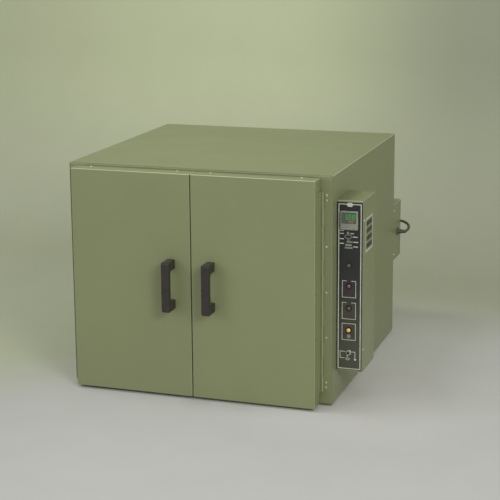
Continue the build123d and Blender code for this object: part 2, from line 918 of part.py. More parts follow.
def controller_body():
    """The controller's square bezel and the case behind the panel, with pockets for the window and keys."""
    front = face_front - bezel_depth
    bezel = block((panel_x - bezel_width / 2, panel_x + bezel_width / 2), (front, face_front),
                  (controller_level - bezel_height / 2, controller_level + bezel_height / 2))
    rims = bezel.faces().sort_by(Axis.Y)[0].edges() + bezel.edges().filter_by(Axis.Y)
    bezel = fillet(rims, bezel_bend)
    side = case_size / 2
    body = bezel + block((panel_x - side, panel_x + side), (face_front, face_front + case_depth),
                         (controller_level - side, controller_level + side))
    window_z = controller_level + window_raise
    body -= block((panel_x - window_width / 2, panel_x + window_width / 2), (front - 1, front + pocket_depth),
                  (window_z - window_height / 2, window_z + window_height / 2))
    z = controller_level + key_level
    for x in key_places():
        half = key_width / 2 + key_play
        body -= block((x - half, x + half), (front - 1, front + pocket_depth),
                      (z - key_height / 2 - key_play, z + key_height / 2 + key_play))
    return body


def controller_window():
    """The display window, set back in the bezel."""
    front = face_front - bezel_depth + 1
    z = controller_level + window_raise
    half = window_width / 2 - seam
    tall = window_height / 2 - seam
    return block((panel_x - half, panel_x + half), (front, front + pocket_depth - 1), (z - tall, z + tall))


def controller_key(x):
    """One key, which stands a little proud of the bezel and can be pressed into its pocket."""
    front = face_front - bezel_depth - key_proud
    z = controller_level + key_level
    key = block((x - key_width / 2, x + key_width / 2), (front, front + key_proud + key_depth),
                (z - key_height / 2, z + key_height / 2))
    return fillet(key.faces().sort_by(Axis.Y)[0].edges(), 0.6)


def reset_collar_ring():
    """The reset button's threaded collar and its body behind the panel."""
    bore = reset_radius + reset_play
    points = [(bore, -14), (bore, 3), (reset_collar - 1, 3), (reset_collar, 2), (reset_collar, 0),
              (bore + 1.1, 0), (bore + 1.1, -16), (0, -16), (0, -14)]
    return turned(points, (panel_x, face_front, reset_level), (0, -1, 0))


def reset_button():
    r = reset_radius
    top = reset_proud + 2
    points = [(0, -8), (r, -8), (r, top - 1), (r - 1, top), (0, top)]
    return turned(points, (panel_x, face_front, reset_level), (0, -1, 0))


def lamp_body(level):
    """A pilot lamp's bezel and barrel, with a seat for the lens."""
    seat = lamp_radius - 1
    points = [(0, -lamp_barrel), (lamp_radius, -lamp_barrel), (lamp_radius, 0), (lamp_bezel, 0),
              (lamp_bezel, lamp_bezel_depth - 1), (lamp_bezel - 1, lamp_bezel_depth),
              (seat + 0.2, lamp_bezel_depth), (seat + 0.2, 1), (0, 1)]
    return turned(points, (panel_x, face_front, level), (0, -1, 0))


def lamp_lens(level):
    """A domed lens in the lamp's seat."""
    r = lamp_radius - 1
    dome = [(r * math.cos(math.radians(a)), lamp_bezel_depth + lamp_dome * math.sin(math.radians(a)))
            for a in range(0, 90, 15)]
    points = [(0, 1), (r, 1)] + dome + [(0, lamp_bezel_depth + lamp_dome)]
    return turned(points, (panel_x, face_front, level), (0, -1, 0))


def switch_pivot():
    return (panel_x, face_front + 1, switch_level)


def toggle_body():
    """The toggle switch's block behind the panel, its bushing through it and the nut in front."""
    back = control_setback + control_sheet
    body = block((panel_x - switch_width / 2, panel_x + switch_width / 2), (back, back + switch_depth),
                 (switch_level - switch_height / 2, switch_level + switch_height / 2))
    length = face_front - back
    body += turned([(0, length - 1), (bushing_radius, length - 1), (bushing_radius, bushing_depth),
                    (0, bushing_depth)], (panel_x, face_front, switch_level), (0, -1, 0))
    body += turned([(0, 0), (nut_radius, 0), (nut_radius, nut_depth - 1), (nut_radius - 1, nut_depth),
                    (0, nut_depth)], (panel_x, face_front, switch_level), (0, -1, 0))
    mouth = [(0, -4), (bushing_bore - 0.4, -4), (bushing_bore - 0.4, 2), (bushing_bore, bushing_depth + 1),
             (0, bushing_depth + 1)]
    return body - turned(mouth, (panel_x, face_front, switch_level), (0, -1, 0))


def toggle_lever():
    """The bat-shaped lever, tilted down in its bushing."""
    ball = lever_tip
    points = [(0, -2.6), (2.2, -2.6), (3, -1), (3, 0.8), (lever_neck, 3.4), (lever_neck + 0.2, 8),
              (ball - 0.4, lever_length - 6), (ball, lever_length - 3), (ball - 0.8, lever_length - 0.7),
              (0, lever_length)]
    tilt = math.radians(lever_tilt)
    return turned(points, switch_pivot(), (0, -math.cos(tilt), -math.sin(tilt)))


def contactor():
    """The heater contactor on the control box's wall plate: a stepped block with terminal ribs."""
    step_height = contactor_height / 5
    step_reach = contactor_reach / 4
    x0 = half_width + control_sheet
    x1 = x0 + contactor_reach
    y0 = control_back - contactor_depth - contactor_from_back
    y1 = y0 + contactor_depth
    z0 = control_bottom + contactor_level
    z1 = z0 + contactor_height
    body = block((x0, x1), (y0, y1), (z0, z1))
    for low, high in ((z0 - 1, z0 + step_height), (z1 - step_height, z1 + 1)):
        body -= block((x1 - step_reach, x1 + 1), (y0 - 1, y1 + 1), (low, high))
    rib = contactor_depth / 3
    for k in range(3):
        y = y0 + k * rib
        for low in (z0 + rib_sheet, z1 - step_height + rib_sheet):
            body += block((x1 - step_reach, x1 - step_reach / 2), (y + rib / 4, y + rib * 3 / 4),
                          (low, low + step_height - 2 * rib_sheet))
    return body


def terminal_block():
    """A strip of barrier terminals on the control box's wall plate."""
    x0 = half_width + control_sheet
    y0 = control_back - strip_depth - strip_from_back
    z0 = control_bottom + strip_level
    strip = block((x0, x0 + strip_reach / 2), (y0, y0 + strip_depth), (z0, z0 + strip_height))
    for k in range(strip_ribs):
        z = z0 + k * (strip_height - rib_sheet) / (strip_ribs - 1)
        strip += block((x0, x0 + strip_reach), (y0 + rib_sheet, y0 + strip_depth - rib_sheet), (z, z + rib_sheet))
    return strip


def probes():
    """The control sensor and the limit sensor, each a thin rod with a hexagon gland nut."""
    rods = []
    for y, z in probe_places():
        seat = half_width + control_sheet
        rod = bar((half_chamber - probe_reach, y, z), (seat + probe_nut_height + 8, y, z), probe_radius)
        nut = Plane(origin=(seat, y, z), z_dir=(1, 0, 0)) * RegularPolygon(probe_nut, 6)
        rods.append(rod + extrude(nut, amount=probe_nut_height, dir=(1, 0, 0)))
    return rods


# Back housing and blower

def housing_screw_levels():
    return (housing_bottom + housing_screw_margin, housing_top - housing_screw_margin)


def rear_housing():
    """The pan over the motor and the supply terminals, open towards the back panel, with a grille at the motor."""
    t = housing_sheet
    box = pan((housing_left, half_width), (cabinet_depth, housing_back), (housing_bottom, housing_top),
              t, housing_bend, "front")
    for k in range(grille_slots):
        z = blower_level + (k - (grille_slots - 1) / 2) * grille_pitch
        box -= block((-grille_length / 2, grille_length / 2), (housing_back - t - 1, housing_back + 1),
                     (z - grille_width / 2, z + grille_width / 2))
    y = cabinet_depth + housing_screw_line
    for z in housing_screw_levels():
        box -= screw_hole((half_width, y, z), (1, 0, 0), t)
        box -= screw_hole((housing_left, y, z), (-1, 0, 0), t)
    reach = (half_width - 5, half_width + 5)
    gland_y = cabinet_depth + gland_line
    return box - bar((reach[0], gland_y, gland_level), (reach[1], gland_y, gland_level), gland_thread + seam)


def housing_bracket(side):
    """An angle strip on the back panel that the housing's side is screwed to."""
    t = housing_sheet
    wall = half_width - t - seam if side > 0 else housing_left + t + seam
    x = sorted((wall, wall - side * bracket_leg))
    lip = sorted((wall, wall - side * t))
    z = (housing_bottom + 8, housing_top - 8)
    strip = block(x, (cabinet_depth, cabinet_depth + t), z)
    strip += block(lip, (cabinet_depth, cabinet_depth + bracket_leg), z)
    y = cabinet_depth + housing_screw_line
    for level in housing_screw_levels():
        strip -= screw_hole((wall, y, level), (side, 0, 0), t)
    return strip


def housing_screws():
    y = cabinet_depth + housing_screw_line
    grip = 2 * housing_sheet + seam
    right = [screw((half_width, y, z), (1, 0, 0), grip) for z in housing_screw_levels()]
    return right + [screw((housing_left, y, z), (-1, 0, 0), grip) for z in housing_screw_levels()]


def shaft_sleeve():
    """The tube through the insulated back wall that the shaft turns in."""
    ends = (liner_back, cabinet_depth)
    tube = bar((0, ends[0], blower_level), (0, ends[1], blower_level), sleeve_radius)
    return tube - bar((0, ends[0] - 1, blower_level), (0, ends[1] + 1, blower_level), sleeve_bore)


def wheel_front():
    """Y of the blower wheel's open face, clear of the inlet."""
    return chamber_depth + inlet_length + wheel_running_gap


def blower_wheel():
    """A backward-curved wheel: back plate, curved blades, front ring and hub."""
    front = wheel_front()
    back = front + wheel_depth
    centre = (0, 0, blower_level)
    t = wheel_sheet
    ring = [(wheel_eye, 0), (wheel_radius, 0), (wheel_radius, t), (wheel_eye, t)]
    wheel = turned(ring, (0, front, blower_level), (0, 1, 0))
    wheel += bar((0, back - t, blower_level), (0, back, blower_level), wheel_radius)
    wheel += bar((0, back - hub_length, blower_level), (0, back, blower_level), hub_radius)
    ends = []
    for radius, share in ((blade_inner, 0), ((blade_inner + wheel_radius) / 2, 0.36), (wheel_radius - 1, 1)):
        angle = -math.radians(blade_sweep) * share
        ends.append(Vector(radius * math.cos(angle), radius * math.sin(angle)))
    offsets = [Vector(-(ends[1] - ends[0]).Y, (ends[1] - ends[0]).X).normalized(),
               Vector(-(ends[2] - ends[0]).Y, (ends[2] - ends[0]).X).normalized(),
               Vector(-(ends[2] - ends[1]).Y, (ends[2] - ends[1]).X).normalized()]
    near = [p + n * (t / 2) for p, n in zip(ends, offsets)]
    far = [p - n * (t / 2) for p, n in zip(ends, offsets)]
    outline = (ThreePointArc(*near) + Line(near[2], far[2]) + ThreePointArc(far[2], far[1], far[0])
               + Line(far[0], near[0]))
    blade = extrude(Plane.XZ * make_face(outline.edges()), amount=wheel_depth - t, dir=(0, 1, 0))
    for k in range(blade_count):
        turned_blade = Rot(0, 360 * k / blade_count, 0) * blade
        wheel += Pos(centre[0], front + t / 2, centre[2]) * turned_blade
    bore = shaft_radius + shaft_play
    return wheel - bar((0, front, blower_level), (0, back + 1, blower_level), bore)


def fan_shaft():
    start = wheel_front() + wheel_depth - hub_length - 2
    end = cabinet_depth + motor_post + motor_plate_sheet + shaft_grip
    return bar((0, start, blower_level), (0, end, blower_level), shaft_radius)


def motor_mount():
    """A square plate on four posts that carries the motor off the hot back wall."""
    y = cabinet_depth + motor_post
    half = motor_plate / 2
    plate = block((-half, half), (y, y + motor_plate_sheet), (blower_level - half, blower_level + half))
    plate = fillet(plate.edges().filter_by(Axis.Y), 8)
    plate -= bar((0, y - 1, blower_level), (0, y + motor_plate_sheet + 1, blower_level), motor_boss + 1)
    for sx in (-1, 1):
        for sz in (-1, 1):
            x = sx * post_spacing / 2
            z = blower_level + sz * post_spacing / 2
            plate += bar((x, cabinet_depth, z), (x, y + 0.5, z), post_radius)
    return plate


def motor():
    """A small totally enclosed motor with a boss through its plate and a bore for the shaft."""
    y = cabinet_depth + motor_post + motor_plate_sheet
    r = motor_radius
    length = motor_length
    points = [(motor_boss, -motor_plate_sheet), (motor_boss, 0), (r - 6, 0), (r - 1, 5), (r - 1, 20),
              (r - 5, 22), (r - 5, length - 22), (r - 1, length - 20), (r - 1, length - 6),
              (r - 8, length), (0, length), (0, shaft_grip + 1), (shaft_radius + shaft_play, shaft_grip + 1),
              (shaft_radius + shaft_play, -motor_plate_sheet)]
    body = turned(points, (0, y, blower_level), (0, 1, 0))
    for k in range(12):
        angle = 30 * k
        rib = block((r - 7, r - 2), (y + 20, y + length - 20), (-1.2, 1.2))
        body += Pos(0, 0, blower_level) * Rot(0, angle, 0) * rib
    return body


def mains_terminals():
    """The block that the supply cord's cores are joined at, on the back panel."""
    x0 = half_width - mains_from_side - mains_length / 2
    y0 = cabinet_depth
    z0 = gland_level - mains_below_gland - mains_height / 2
    base = block((x0, x0 + mains_length), (y0, y0 + mains_depth / 2), (z0, z0 + mains_height))
    for k in range(5):
        x = x0 + k * (mains_length - rib_sheet) / 4
        base += block((x, x + rib_sheet), (y0, y0 + mains_depth), (z0 + rib_sheet, z0 + mains_height - rib_sheet))
    return base


# Supply cord

def gland_tip():
    return Vector(half_width + gland_nose, cabinet_depth + gland_line, gland_level)


def cord_gland():
    """The strain relief in the housing's side: flange, tapered nose, thread and lock nut."""
    root = (half_width, cabinet_depth + gland_line, gland_level)
    inside = -housing_sheet - gland_inside
    points = [(0, inside), (gland_thread, inside), (gland_thread, 0), (gland_flange, 0),
              (gland_flange, gland_flange_depth - 1), (gland_flange - 1, gland_flange_depth),
              (gland_thread + 1, gland_flange_depth), (cord_radius + 1.6, gland_nose), (0, gland_nose)]
    body = turned(points, root, (1, 0, 0))
    seat = half_width - housing_sheet
    nut = Plane(origin=(seat, root[1], root[2]), z_dir=(-1, 0, 0)) * RegularPolygon(gland_nut, 6)
    return body + extrude(nut, amount=gland_nut_depth, dir=(-1, 0, 0))


def cord_route():
    """Round the housing's edge, down behind it and on to the top of the coil on the bench."""
    tip = gland_tip()
    x0, y0, z0 = tip.X, tip.Y, tip.Z
    return [
        (x0, y0, z0),
        (x0 + 14, y0, z0),
        (x0 + 25, y0 + 13, z0 + 3),
        (x0 + 25, y0 + 38, z0 + 9),
        (x0 + 14, y0 + 62, z0 + 16),
        (x0 - 9, y0 + 77, z0 + 21),
        (x0 - 37, y0 + 80, z0 + 22),
        (x0 - 65, y0 + 80, z0 + 15),
        (x0 - 88, y0 + 79.5, z0 - 3),
        (x0 - 104, y0 + 79, z0 - 29),
        (x0 - 114, y0 + 79, z0 - 63),
        (x0 - 121, y0 + 79, z0 - 105),
        (x0 - 127, y0 + 79.5, z0 - 153),
        (x0 - 132, y0 + 79, z0 - 201),
        (x0 - 139, y0 + 79.5, z0 - 245),
        (x0 - 151, y0 + 79, z0 - 280),
        (x0 - 170, y0 + 79.5, z0 - 305),
        (x0 - 196, y0 + 79.5, z0 - 319),
        (x0 - 225, y0 + 79.5, z0 - 323),
    ]


def corner_radii(points):
    """The largest arc that each corner's two runs allow."""
    radii = []
    for a, b, c in zip(points, points[1:], points[2:]):
        before = Vector(*b) - Vector(*a)
        after = Vector(*c) - Vector(*b)
        turn = math.radians(before.get_angle(after))
        radii.append(0.45 * min(before.length, after.length) / math.tan(turn / 2))
    return radii


def power_cord():
    points = cord_route()
    radii = corner_radii(points)
    path = FilletPolyline(*points, radius=radii)
    cord = sweep(Plane(origin=path @ 0, z_dir=path % 0) * Circle(cord_radius), path=path)
    section = math.pi * cord_radius ** 2
    print("cord radii", [round(r) for r in radii])
    print("cord length", round(path.length, 1), "volume over section and length",
          round(cord.volume / (section * path.length), 5))
    return cord


def cord_coil():
    """The coil of the cord's spare length, as one solid ring with the tail that leads to the plug."""
    section = Pos(coil_radius, coil_height / 2) * Rectangle(coil_width, coil_height)
    section = chamfer(section.vertices(), coil_round)
    ring = Pos(coil_centre_x, coil_centre_y, 0) * revolve(Plane.XZ * section, Axis.Z)
    y = coil_centre_y - coil_radius
    tail_end = coil_centre_x + coil_tail
    return ring + bar((coil_centre_x, y, tail_level), (tail_end, y, tail_level), cord_radius)


def power_plug():
    """The moulded plug beside the coil: tapered neck, rounded body, two flat blades and a round earth pin."""
    y = coil_centre_y - coil_radius
    neck_start = coil_centre_x + coil_tail
    body_start = neck_start + plug_neck
    body_end = body_start + plug_length
    level = plug_height / 2
    tip = Vector(neck_start, y, tail_level)
    along = Vector(body_start + plug_round, y, level) - tip
    neck = [(0, 0), (cord_radius, 0), (level - plug_round, along.length), (0, along.length)]
    shape = turned(neck, tip, along)
    body = block((body_start, body_end), (y - plug_width / 2, y + plug_width / 2), (0, plug_height))
    shape += fillet(body.edges(), plug_round)
    end = body_end + blade_length
    for side in (-1, 1):
        line = y + side * blade_line
        z = level + blade_above
        shape += block((body_end - 1, end), (line - blade_sheet / 2, line + blade_sheet / 2),
                       (z - blade_height / 2, z + blade_height / 2))
    return shape + bar((body_end - 1, y, level - earth_below), (end, y, level - earth_below), earth_pin)


def main():
    os.makedirs("parts", exist_ok=True)
    save("outer_case", outer_case())
    save("front_frame", front_frame())
    save("back_panel", back_panel())
    save("base_pan", base_pan())
    save("feet", *feet())
    save("insulation", insulation())
    save("chamber_liner", chamber_liner())
    save("duct_wall", duct_wall())
    rack = shelf_rack()
    save("shelf_racks", rack, mirrored(rack))
    save("wire_shelves", *[wire_shelf(index) for index in shelf_ledges])
    save("heaters", *[heater_element(k) for k in range(heater_count)])
    door_pieces = {
        "outer_pan": [outer_pan()],
        "inner_pan": [inner_pan()],
        "door_core": [door_core()],
        "door_gasket": [door_gasket()],
        "door_handle": [handle()],
        "door_leaf": [door_leaf()],
        "door_screws": handle_screws() + edge_screws() + door_leaf_screws(),
    }
    for name, shapes in door_pieces.items():
        save(f"right_{name}", *shapes)
        save(f"left_{name}", *[mirrored(shape) for shape in shapes])
    frame_pieces = {
        "frame_leaves": [frame_leaf()],
        "hinge_pins": [hinge_pin()],
        "door_catches": [door_catch()],
    }
    for name, shapes in frame_pieces.items():
        save(name, *shapes, *[mirrored(shape) for shape in shapes])
    leaf_screws = frame_leaf_screws()
    save("cabinet_screws", *leaf_screws, *[mirrored(shape) for shape in leaf_screws], *control_cover_screws(),
         *housing_screws())
    save("control_chassis", control_chassis())
    save("control_cover", control_cover())
    save("face_plate", face_plate())
    save("controller_body", controller_body())
    save("controller_window", controller_window())
    for k, x in enumerate(key_places()):
        save(f"controller_key_{k + 1}", controller_key(x))
    save("reset_collar", reset_collar_ring())
    save("reset_button", reset_button())
    save("lamp_bodies", *[lamp_body(level) for level in lamp_levels])
    save("lamp_lenses", *[lamp_lens(level) for level in lamp_levels])
    save("toggle_body", toggle_body())
    save("toggle_lever", toggle_lever())
    save("contactor", contactor())
    save("terminal_blocks", terminal_block(), mains_terminals())
    save("probes", *probes())
    save("conduit", conduit(conduit_radius))
    save("rear_housing", rear_housing())
    save("housing_brackets", housing_bracket(-1), housing_bracket(1))
    save("shaft_sleeve", shaft_sleeve())
    save("blower_wheel", blower_wheel())
    save("fan_shaft", fan_shaft())
    save("motor_mount", motor_mount())
    save("motor", motor())
    save("cord_gland", cord_gland())
    save("power_cord", power_cord())
    save("cord_coil", cord_coil())
    save("power_plug", power_plug())


main()
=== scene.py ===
"""The looks of a green two-door bench oven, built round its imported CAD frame."""
import bpy
import bmesh
import math
from mathutils import Matrix, Vector


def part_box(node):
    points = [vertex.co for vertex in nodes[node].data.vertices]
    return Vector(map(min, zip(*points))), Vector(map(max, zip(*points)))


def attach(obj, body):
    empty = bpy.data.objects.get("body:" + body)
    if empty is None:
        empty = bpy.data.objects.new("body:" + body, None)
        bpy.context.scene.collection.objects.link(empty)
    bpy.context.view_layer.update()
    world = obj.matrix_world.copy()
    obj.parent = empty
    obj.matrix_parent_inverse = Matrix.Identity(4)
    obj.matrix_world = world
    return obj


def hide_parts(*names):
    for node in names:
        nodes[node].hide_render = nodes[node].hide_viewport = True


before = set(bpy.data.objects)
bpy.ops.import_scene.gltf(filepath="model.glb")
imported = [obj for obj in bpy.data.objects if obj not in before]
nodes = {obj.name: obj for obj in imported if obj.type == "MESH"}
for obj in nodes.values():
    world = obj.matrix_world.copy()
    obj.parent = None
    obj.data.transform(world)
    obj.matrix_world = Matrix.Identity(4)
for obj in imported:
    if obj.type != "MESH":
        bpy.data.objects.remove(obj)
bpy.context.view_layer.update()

# The drawing's own zero: the middle of the cabinet's front face, on the bench
case_low, case_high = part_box("outer_case")
ZERO = Vector(((case_low.x + case_high.x) / 2, case_low.y, 0))


def at(x, y, z):
    """A point of the drawing, given in millimetres from its zero, in the frame's metres."""
    return ZERO + Vector((x, y, z)) / 1000


def placed(name, data):
    """A new object in the scene that holds data."""
    made = bpy.data.objects.new(name, data)
    bpy.context.scene.collection.objects.link(made)
    return made


# Camera

CAMERA_PLACE = at(1452.6, -3851.1, 1456.8)
YAW, PITCH, ROLL = 0.3226, 0.2045, 0.0075
SENSOR_WIDTH = 36
FOCAL_LENGTH = 1402.6 / 500 * SENSOR_WIDTH
LENS_SHIFT = -0.1


def make_camera():
    """The camera at its place, turned left by YAW, down by PITCH and rolled by ROLL, in radians."""
    right = Vector((math.cos(YAW), math.sin(YAW), 0))
    level = Vector((-math.sin(YAW), math.cos(YAW), 0))
    ahead = level * math.cos(PITCH) - Vector((0, 0, math.sin(PITCH)))
    up = right.cross(ahead)
    rolled_right = right * math.cos(ROLL) - up * math.sin(ROLL)
    rolled_up = right * math.sin(ROLL) + up * math.cos(ROLL)
    turn = Matrix((rolled_right, rolled_up, -ahead)).transposed()
    data = bpy.data.cameras.new("camera")
    data.sensor_width = SENSOR_WIDTH
    data.lens = FOCAL_LENGTH
    data.shift_y = LENS_SHIFT
    data.clip_end = 50
    camera = placed("camera", data)
    camera.matrix_world = Matrix.Translation(CAMERA_PLACE) @ turn.to_4x4()
    bpy.context.scene.camera = camera


make_camera()


# Materials

def tone(red, green, blue):
    """A colour given as 0 to 255 on a screen, as the linear colour that shaders take."""
    out = []
    for value in (red, green, blue):
        share = value / 255
        out.append(share / 12.92 if share <= 0.04045 else ((share + 0.055) / 1.055) ** 2.4)
    return (*out, 1)


class Value:
    """A value in a material's node tree: arithmetic on it makes the maths nodes."""

    def __init__(self, paint, out):
        self.paint = paint
        self.out = out

    def maths(self, kind, *values):
        return self.paint.node("ShaderNodeMath", values, operation=kind)

    def __add__(self, other):
        return self.maths("ADD", self, other)

    def __radd__(self, other):
        return self.maths("ADD", other, self)

    def __sub__(self, other):
        return self.maths("SUBTRACT", self, other)

    def __rsub__(self, other):
        return self.maths("SUBTRACT", other, self)

    def __mul__(self, other):
        return self.maths("MULTIPLY", self, other)

    def __rmul__(self, other):
        return self.maths("MULTIPLY", other, self)

    def __gt__(self, other):
        return self.maths("GREATER_THAN", self, other)

    def __abs__(self):
        return self.maths("ABSOLUTE", self)

    def or_more(self, other):
        """The larger of this value and another."""
        return self.maths("MAXIMUM", self, other)

    def ramp(self, low, high, to_low=0.0, to_high=1.0):
        """The value eased from to_low to to_high as it goes from low to high."""
        return self.paint.node("ShaderNodeMapRange", (self, low, high, to_low, to_high),
                               interpolation_type="SMOOTHSTEP")


class Paint:
    """A principled material with helpers for its procedural parts."""

    def __init__(self, name, color, rough=0.5, metallic=0.0, **fixed):
        self.material = bpy.data.materials.new(name)
        self.material.use_nodes = True
        self.tree = self.material.node_tree
        self.shader = self.tree.nodes["Principled BSDF"]
        self.color = color
        self.put("Base Color", color)
        self.put("Roughness", rough)
        self.put("Metallic", metallic)
        for key, value in fixed.items():
            self.put(key.replace("_", " ").title(), value)
        self.material.diffuse_color = color
        self.place = self.node("ShaderNodeTexCoord", (), out="Object")

    def feed(self, socket, value):
        if isinstance(value, Value):
            self.tree.links.new(value.out, socket)
        elif value is not None:
            socket.default_value = value

    def node(self, kind, inputs=(), out=0, **settings):
        """Makes a node with its options, feeds its inputs, in order or by name, and returns an output."""
        made = self.tree.nodes.new(kind)
        for key, value in settings.items():
            setattr(made, key, value)
        for key, value in inputs.items() if isinstance(inputs, dict) else enumerate(inputs):
            self.feed(made.inputs[key], value)
        return Value(self, made.outputs[out])

    def put(self, name, value):
        self.feed(self.shader.inputs[name], value)

    def stretched(self, scale):
        return self.node("ShaderNodeMapping", (self.place, None, None, scale))

    def noise(self, scale, detail=3.0, rough=0.5, stretch=None):
        place = self.stretched(stretch) if stretch else self.place
        return self.node("ShaderNodeTexNoise", (place, None, scale, detail, rough))

    def cells(self, scale, stretch=None):
        place = self.stretched(stretch) if stretch else self.place
        return self.node("ShaderNodeTexVoronoi", (place, None, scale))

    def axis(self, name):
        return self.node("ShaderNodeSeparateXYZ", (self.place,), out=name)

    def mixed(self, share, one, two):
        """Colour one, going over to colour two as share goes from 0 to 1."""
        return self.node("ShaderNodeMix", {0: share, 6: one, 7: two}, out=2, data_type="RGBA")

    def bends(self):
        """Where the painted bend highlight goes: 0 on the flats of folded sheets, 1 on the bends that face
        up and 0.26 on upright ones.
        """
        normal = self.node("ShaderNodeTexCoord", (), out="Normal")
        size = self.node("ShaderNodeVectorMath", (normal,), operation="ABSOLUTE")
        x, y, z = [self.node("ShaderNodeSeparateXYZ", (size,), out=name) for name in "XYZ"]
        upward = self.node("ShaderNodeSeparateXYZ", (normal,), out="Z").ramp(-0.3, 0.6)
        return x.or_more(y).or_more(z).ramp(0.97, 0.86) * upward

    def shaded(self, share, low, high):
        """The base colour, varied from low to high times its own brightness."""
        one = (*[channel * low for channel in self.color[:3]], 1)
        two = (*[channel * high for channel in self.color[:3]], 1)
        return self.mixed(share, one, two)

    def bump(self, height, distance, strength):
        """Lets height, times distance in metres, roughen the surface."""
        inputs = {"Height": height, "Distance": distance, "Strength": strength}
        self.put("Normal", self.node("ShaderNodeBump", inputs))
        return self


PAINT_DUST = tone(170, 174, 146)
# A light colour painted on the bends of the enamel as a highlight.
PAINTED_BEND_HIGHLIGHT = tone(206, 211, 180)


def enamel(name, color, rough=0.36, bend_highlight_strength=0.0):
    """Sprayed enamel: faint clouding, orange peel, a few dust nibs and a painted highlight on the bends."""
    paint = Paint(name, color, rough)
    cloud = paint.noise(2.4, 4.0)
    fine = paint.noise(900.0, 2.0)
    smear = paint.noise(7.0, 4.0, 0.55)
    grain = paint.noise(260.0, 2.0)
    nib = paint.cells(45.0).ramp(0.05, 0.02)
    share = cloud * 0.6 + smear * 0.25 + grain * 0.15
    clouded = paint.mixed(nib * 0.15, paint.shaded(share.ramp(0.3, 0.7), 0.965, 1.035), PAINT_DUST)
    # Painted highlight: the bends are mixed towards a light colour, most where they face up.
    paint.put("Base Color", paint.mixed(paint.bends() * bend_highlight_strength, clouded, PAINTED_BEND_HIGHLIGHT))
    paint.put("Roughness", smear.ramp(0.25, 0.75, rough - 0.015, rough + 0.03))
    return paint.bump(fine * 0.7 + paint.noise(240.0, 2.0) * 0.6 + nib * 0.5, 0.0001, 0.3).material


def moulding(name, color, rough=0.45, grain=0.00006):
    """Moulded plastic: a fine spark-eroded grain and slightly uneven gloss."""
    paint = Paint(name, color, rough)
    coarse = paint.noise(38.0, 4.0, 0.6)
    paint.put("Base Color", paint.shaded(coarse.ramp(0.3, 0.7), 0.86, 1.14))
    paint.put("Roughness", coarse.ramp(0.25, 0.75, rough - 0.06, rough + 0.08))
    return paint.bump(paint.noise(1400.0, 2.0) + paint.cells(900.0) * 0.5, grain, 0.6).material


def brushed(name, color, rough=0.34, along=(1, 1, 30), metallic=1.0):
    """Sheet or bar metal with fine lines across the stretched axis, and patchy bloom."""
    paint = Paint(name, color, rough, metallic)
    lines = paint.noise(160.0, 3.0, 0.6, along)
    bloom = paint.noise(9.0, 4.0, 0.6)
    paint.put("Base Color", paint.shaded((lines * 0.5 + bloom * 0.5).ramp(0.3, 0.7), 0.86, 1.08))
    paint.put("Roughness", (lines * 0.4 + bloom * 0.6).ramp(0.3, 0.7, rough - 0.08, rough + 0.12))
    return paint.bump(lines, 0.00003, 0.5).material


def rubbery(name, color, rough=0.6):
    """Cord sheath, pads and seals: matt, with a fine grain and dust."""
    paint = Paint(name, color, rough)
    dust = paint.noise(70.0, 5.0, 0.65)
    paint.put("Base Color", paint.mixed(dust.ramp(0.45, 0.8) * 0.22, color, tone(120, 118, 108)))
    paint.put("Roughness", dust.ramp(0.3, 0.7, rough - 0.08, rough + 0.1))
    return paint.bump(paint.noise(800.0, 2.0), 0.00005, 0.5).material


def wool(name, color):
    """Mineral wool: clumped short fibres."""
    paint = Paint(name, color, 0.95)
    fibre = paint.noise(140.0, 6.0, 0.75, (1, 3, 1))
    clump = paint.cells(60.0)
    paint.put("Base Color", paint.shaded((fibre * 0.7 + clump * 0.5).ramp(0.25, 0.85), 0.6, 1.2))
    return paint.bump(fibre + clump * 0.6, 0.0015, 0.8).material


def door_screw():
    """The doors' screws: bright zinc, but painted over where they hold the hinge leaves."""
    paint = Paint("door_screw", tone(226, 226, 206), 0.42)
    painted = abs(paint.axis("X") - ZERO.x) > 0.381
    mottle = paint.noise(90.0, 3.0)
    zinc = paint.shaded(mottle.ramp(0.3, 0.7), 0.86, 1.06)
    green = paint.mixed(mottle.ramp(0.3, 0.7), tone(126, 132, 96), tone(131, 137, 100))
    paint.put("Base Color", paint.mixed(painted, zinc, green))
    paint.put("Metallic", painted.ramp(0.0, 1.0, 0.35, 0.0))
    return paint.bump(paint.noise(700.0, 2.0), 0.00003, 0.5).material


def glow(name, color, shine=None, strength=0.0, rough=0.2):
    """A lens or a display segment: clear-coated colour, lit where shine is given."""
    paint = Paint(name, color, rough, coat_weight=0.5, coat_roughness=0.08)
    sparkle = paint.noise(500.0, 2.0)
    paint.put("Base Color", paint.shaded(sparkle.ramp(0.3, 0.7), 0.85, 1.15))
    if shine:
        dimmer = (*[channel * 0.8 for channel in shine[:3]], 1)
        paint.put("Emission Color", paint.mixed(sparkle.ramp(0.3, 0.7), shine, dimmer))
        paint.put("Emission Strength", strength)
    return paint.material


def panel_film():
    """The dark film of the control panel: satin, with faint dust and a painted reflection that pales it
    towards its lower end.
    """
    paint = Paint("panel_film", tone(33, 32, 35), 0.34)
    dust = paint.noise(60.0, 5.0, 0.65)
    # Painted reflection: by height, the film goes over to a pale olive grey towards its lower end.
    height = paint.axis("Z").ramp(0.46, 0.12)
    paint.put("Base Color", paint.mixed(height * 0.8 + dust * 0.1, tone(31, 30, 34), tone(76, 78, 63)))
    paint.put("Roughness", dust.ramp(0.3, 0.7, 0.3, 0.42))
    return paint.bump(paint.noise(1200.0, 2.0), 0.00002, 0.4).material


